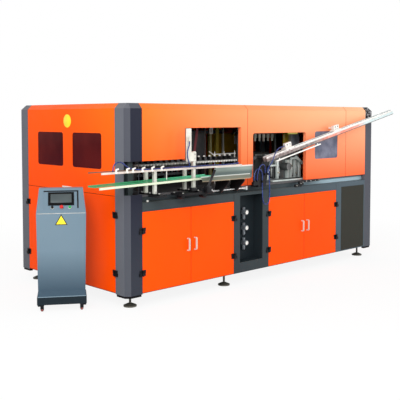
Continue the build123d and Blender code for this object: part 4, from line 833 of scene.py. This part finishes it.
def hinge_leaves(name, pin, side, levels):
    """Leaves of a door's two hinges on one side of the pin, across the front or the end."""
    near, far = sorted(pin + side * reach for reach in leaf_reach)
    low, high = (near, leaf_low), (far, leaf_high)
    if name.startswith("end"):
        low, high = low[::-1], high[::-1]
    return [milled((*low, level - leaf_half), (*high, level + leaf_half), 0.001) for level in levels]


fixed_leaves = []
for name, pin, side, levels in hinged_doors:
    fixed_leaves += hinge_leaves(name, pin, -side, levels)
settle(together(fixed_leaves), "fixed_hinge_leaves", black)
for name, pin, side, levels in hinged_doors:
    leaves = together(hinge_leaves(name, pin, side, levels))
    settle(leaves, name + "_hinge_leaves", black, name)

# Seal under the end cover, a black extruded profile coloured dark orange-brown, and the white grip plate
# above it.
end_seal = milled((-0.1495, 0.050, 1.1530), (-0.1400, 1.750, 1.1640), 0.001)
orange_brown_black = black_part("black_extruded_seal", "#2E140A", "#3C1C10", 0.6)
settle(end_seal, "end_cover_seal", orange_brown_black)
grip = milled((-0.1540, 0.840, 1.180), (-0.1500, 1.020, 1.196), 0.0018)
settle(grip, "end_cover_grip", white_plastic)

# Base of the conveyor's stands: a black plate under the foot bars, the slanted strut
# beside the trough on its foot, clamp blocks and the roller housings of the drive.
plate_top = 1.1645
strut_y = -0.372
base_parts = together([
    milled((0.080, -0.350, 1.148), (0.210, -0.200, plate_top), 0.002),
    milled((0.420, -0.352, 1.140), (0.860, -0.160, plate_top), 0.002),
    milled((0.738, -0.388, 1.1500), (0.806, -0.330, 1.228), 0.004),
    round_bar((0.764, strut_y, 1.215), (0.868, strut_y, 1.391), 0.017, 4, 0.002),
    milled((0.560, -0.340, 1.181), (0.640, -0.300, 1.215), 0.003),
    milled((0.694, -0.345, 1.1650), (0.735, -0.240, 1.206), 0.003),
    round_bar((0.800, -0.290, 1.125), (0.800, -0.220, 1.125), 0.034, 24, 0.003),
    round_bar((0.470, -0.300, 1.128), (0.470, -0.220, 1.128), 0.026, 24, 0.003),
])
settle(base_parts, "conveyor_base_and_strut", black)
base_bolts = [
    round_bar((x, y, 1.1640), (x, y, 1.1720), 0.008, 6)
    for x in (0.445, 0.835) for y in (-0.330, -0.190)
]
base_bolts.append(round_bar((0.109, -0.1502, 1.099), (0.109, -0.1620, 1.099), 0.011, 16))
settle(together(base_bolts), "conveyor_base_bolts", zinc)

# Cable bracket on the bed's edge below the clamp window. A folded black channel with
# its row of zinc-plated bolts.
apron_face = -0.1505
bolt_head = 0.006
bracket_bolt_places = ((2.505, -0.171, 1.104), (2.580, -0.175, 1.128), (2.622, -0.175, 1.140)) + tuple(
    (x, -0.169, 1.149) for x in (2.700, 2.790, 2.880, 2.960)
)
bracket = together([
    milled((2.600, -0.170, 1.138), (2.985, apron_face, 1.160), 0.002),
    milled((2.556, -0.176, 1.104), (2.640, apron_face, 1.156), 0.003),
    milled((2.478, -0.172, 1.088), (2.600, apron_face, 1.120), 0.003),
])
settle(bracket, "bed_cable_bracket", black)
bracket_bolts = [round_bar((x, y, z), (x, y - bolt_head, z), bolt_head, 6) for x, y, z in bracket_bolt_places]
settle(together(bracket_bolts), "bed_cable_bracket_bolts", zinc)

# Sensor heads on the chute. White moulded housings, two to a bridge plate, with a dark
# screw cap in front of each, on the clamps that bridge the chute.
chute_angle = -12.0
bridge_places = (0.430, 1.420)
lean = Matrix.Translation((1.810, -0.250, 1.491)) @ turn(chute_angle, "Y")
heads, caps = [], []
for along in bridge_places:
    heads.append(milled((along - 0.046, -0.0405, 0.006), (along + 0.046, 0.0405, 0.022), 0.004))
    for middle in (along - 0.026, along + 0.026):
        heads.append(milled((middle - 0.020, -0.020, 0.016), (middle + 0.020, 0.020, 0.0672), 0.006))
        caps.append(round_bar((middle, -0.0185, 0.052), (middle, -0.0225, 0.052), 0.008, 16))
for piece in heads + caps:
    piece.data.transform(lean)
settle(together(heads), "chute_sensor_heads", white_plastic)
settle(together(caps), "chute_sensor_caps", black)

# Plain yellow disc on the end cover: a thin plastic plate, die cut and stuck on, with
# its rim broken.
yellow = two_tone("yellow_plastic_plate", 0.04, "#F3E02A", "#EAD21C", 0.35)
disc_place = Matrix.Translation((-0.150, 0.911, 1.916)) @ turn(-90, "Y")
settle(repeat(turned(0.0725, 0.002, 48, 0.0008), [disc_place]), "end_cover_disc", yellow)

# Console. Folded steel cabinet in a smooth blue-grey paint, with painted shade that darkens it towards the
# floor and a painted highlight along the skirt's fold, on castors with black forks.
lower_shade = (0.62, 0.22)
skirt_top = 0.150
skirt_fold = (0.158, 0.156)
fork_top = 0.0738
console_paint, tree, surface, place, colour = powder_coat("blue_grey_satin_paint", "#6B7F8C", "#667A88", 0.42)
colour = tint(tree, ("Z", *lower_shade), colour, "#3E505E")
colour = tint(tree, ("LESS_THAN", "Z", skirt_top), colour, "#1E272D")
# Painted highlight: a pale line along the skirt's fold.
colour = tint(tree, ("MULTIPLY", ("Z", *skirt_fold), ("Z", skirt_top, skirt_top + 0.0005)), colour, "#7E929E")
put(tree, surface, {"Base Color": tint(tree, ("LESS_THAN", "Z", fork_top), colour, "#141313")})
dress(console_paint, "console_cabinet")
screen = two_tone("touch_screen_glass", 0.3, "#050506", "#0A0A0B", 0.3, {"Specular IOR Level": 0.1})
dress(screen, "touch_screen")

# Lit area of the touch screen, the switches' collars, black strips of painted shadow along the top and right
# edges of the panel's recess, a zinc strip of painted highlight along the panel's fold, and the plain yellow
# triangle with its black rim below: thin plates laid on the sheet.
console_turn = -33
panel_rise, panel_run = 237, 180
collar_places = (-0.087, 0.004, 0.086)
square_out = Matrix.Translation((-0.628, 0.303, 0.0)) @ turn(console_turn, "Z")
panel_tilt = Matrix.Rotation(math.atan2(panel_rise, panel_run), 4, "X")
panel_lean = Matrix.Translation((0.0, 0.0, 0.995)) @ panel_tilt
on_panel = square_out @ panel_lean
on_front = square_out @ Matrix.Translation((0, 0.0008, 0.9145)) @ to_front
display = two_tone("screen_display_film", 0.2, "#4C5556", "#424A4C", 0.25, {"Specular IOR Level": 0.15})
film = milled((-0.1045, 0.1225, 0.0036), (0.1045, 0.2255, 0.0044), 0.0003)
film.data.transform(on_panel)
settle(film, "screen_display", display, "console")
collar_spots = [on_panel @ Matrix.Translation((across, 0.070, -0.004)) for across in collar_places]
collars = repeat(turned(0.0175, 0.0022, 24, 0.0008), collar_spots)
settle(collars, "switch_collars", zinc, "console")
# Painted shadow: black strips along the top and right edges of the panel's recess.
recess_shadow = together([
    milled((-0.1745, 0.2560, -0.0040), (0.1745, 0.2695, -0.0008), 0.0006),
    milled((0.1590, 0.0600, -0.0040), (0.1745, 0.2560, -0.0008), 0.0006),
])
recess_shadow.data.transform(on_panel)
settle(recess_shadow, "panel_recess_shadow", black, "console")
# Painted highlight: a zinc strip along the panel's fold.
fold = milled((-0.2400, -0.0030, -0.0010), (0.2400, 0.0030, 0.0008), 0.0006)
fold.data.transform(on_panel)
settle(fold, "panel_fold_highlight", zinc, "console")
for name, radius, thick, finish, slot in (
    ("console_triangle_rim", 0.0715, 0.0012, black, "black_fittings"),
    ("console_triangle", 0.0570, 0.0022, yellow, "painted_orange"),
):
    plate = turned(radius, thick, 3)
    plate.data.transform(on_front)
    settle(plate, name, finish, "console")

# Castor heads: a pressed swivel cup above each fork, a thread guard before the front
# wheels and a brake lever that points outwards, all coated black. The treads are moulded.
castor_x, castor_y = 0.197, (0.044, 0.236)
castor_parts = []
for x, outward in ((-castor_x, -1), (castor_x, 1)):
    castor_parts += [round_bar((x, y, 0.0590), (x, y, 0.0737), 0.022, 20, 0.002) for y in castor_y]
    castor_parts.append(milled((x - 0.018, 0.0080, 0.0300), (x + 0.018, 0.0165, 0.0735), 0.002))
    near, far = sorted((x + outward * 0.0170, x + outward * 0.0440))
    castor_parts.append(milled((near, 0.0280, 0.0520), (far, 0.0560, 0.0660), 0.003))
castor_parts = together(castor_parts)
castor_parts.data.transform(square_out)
settle(castor_parts, "castor_heads", black, "console")
tread = two_tone("castor_tread_moulded", 0.01, "#A3504A", "#7E3E3A", 0.5)
dress(tread, "castor_wheel_1", "castor_wheel_2", "castor_wheel_3", "castor_wheel_4")

# Buttons of the console. Glossy moulded caps: a red mushroom for the stop and a green
# push button for the start.
dress(two_tone("red_mushroom_cap", 0.01, "#C8140F", "#B5120E", 0.25), "stop_button")
dress(two_tone("green_push_cap", 0.01, "#1F9E53", "#178A47", 0.25), "start_button")

# Floor. A pale matt studio floor that takes the machine's shadow and is nearly white to
# the camera, more so away from the machine.
shadow_run = (2.0, 6.0)
bpy.ops.object.select_all(action="DESELECT")
bpy.ops.mesh.primitive_plane_add(size=90, location=(2, 0, 0))
floor = bpy.context.object
floor.name = "studio_floor"
floor_paint, tree, surface, place = new_material("pale_studio_floor")
put(tree, surface, {"Base Color": mottle(tree, place, 4.0, "#F4F4F3", "#F0F0EF"), "Roughness": 0.9})
white = add(tree, "ShaderNodeEmission", {"Color": (1, 1, 1, 1), "Strength": 1.0})
rays = add(tree, "ShaderNodeLightPath")
from_middle = add(tree, "ShaderNodeVectorMath", {"operation": "LENGTH", 0: place}).outputs["Value"]
seen = ("MULTIPLY", rays.outputs["Is Camera Ray"], (from_middle, *shadow_run, 0.88, 1.0))
cover_mix = add(tree, "ShaderNodeMixShader", {0: seen, 1: surface.outputs[0], 2: white.outputs[0]})
output = next(node for node in tree.nodes if node.type == "OUTPUT_MATERIAL")
put(tree, output, {"Surface": cover_mix.outputs[0]})
floor.data.materials.append(floor_paint)

# Studio air. White to the camera and in reflections, half as bright as a light source.
# It fills the shadows without washing the colours out.
world = bpy.data.worlds.new("studio_air")
scene.world = world
world.use_nodes = True
tree = world.node_tree
tree.nodes.clear()
rays = add(tree, "ShaderNodeLightPath").outputs
bright = ("MAXIMUM", ("MAXIMUM", rays["Is Camera Ray"], rays["Is Glossy Ray"]), rays["Is Transmission Ray"])
air = add(tree, "ShaderNodeBackground", {"Color": (1, 1, 1, 1), "Strength": (bright, 0.0, 1.0, 0.5, 1.0)})
add(tree, "ShaderNodeOutputWorld", {"Surface": air.outputs[0]})

# Lamps. Four large softboxes: one high on the left, the main one before the left corner,
# and two weaker ones before the front and the right end.


def softbox(name, spot, target, size, power):
    """Square soft lamp that looks at a point."""
    lamp = bpy.data.lights.new(name, "AREA")
    lamp.shape = "SQUARE"
    lamp.size = size
    lamp.energy = power
    holder = bpy.data.objects.new(name, lamp)
    scene.collection.objects.link(holder)
    holder.location = spot
    holder.rotation_euler = (Vector(target) - Vector(spot)).to_track_quat("-Z", "Y").to_euler()


softbox("high_left_softbox", (-6.0, -4.3, 6.6), (0.0, 0.9, 0.8), 5.0, 440)
softbox("main_softbox", (-5.0, -6.5, 4.5), (0.5, 0.5, 1.0), 4.5, 370)
softbox("front_softbox", (2.5, -8.0, 4.5), (2.0, 0.0, 1.0), 4.0, 110)
softbox("right_softbox", (9.5, -6.5, 3.2), (3.0, 0.0, 1.4), 3.5, 240)

# Camera. It stands where the photograph was taken from, at the left corner and a little
# below the roof's height, with its lens shifted down.
camera = bpy.data.cameras.new("photo_view")
camera.lens = 64.72
camera.sensor_width = 36.0
camera.shift_y = -0.1065
camera.clip_end = 200
viewer = bpy.data.objects.new("photo_view", camera)
scene.collection.objects.link(viewer)
viewer.location = (-4.54215, -5.84136, 1.94348)
viewer.rotation_euler = (math.radians(86.9), 0.0, math.radians(-43.49))
scene.camera = viewer

scene.view_settings.view_transform = "Standard"
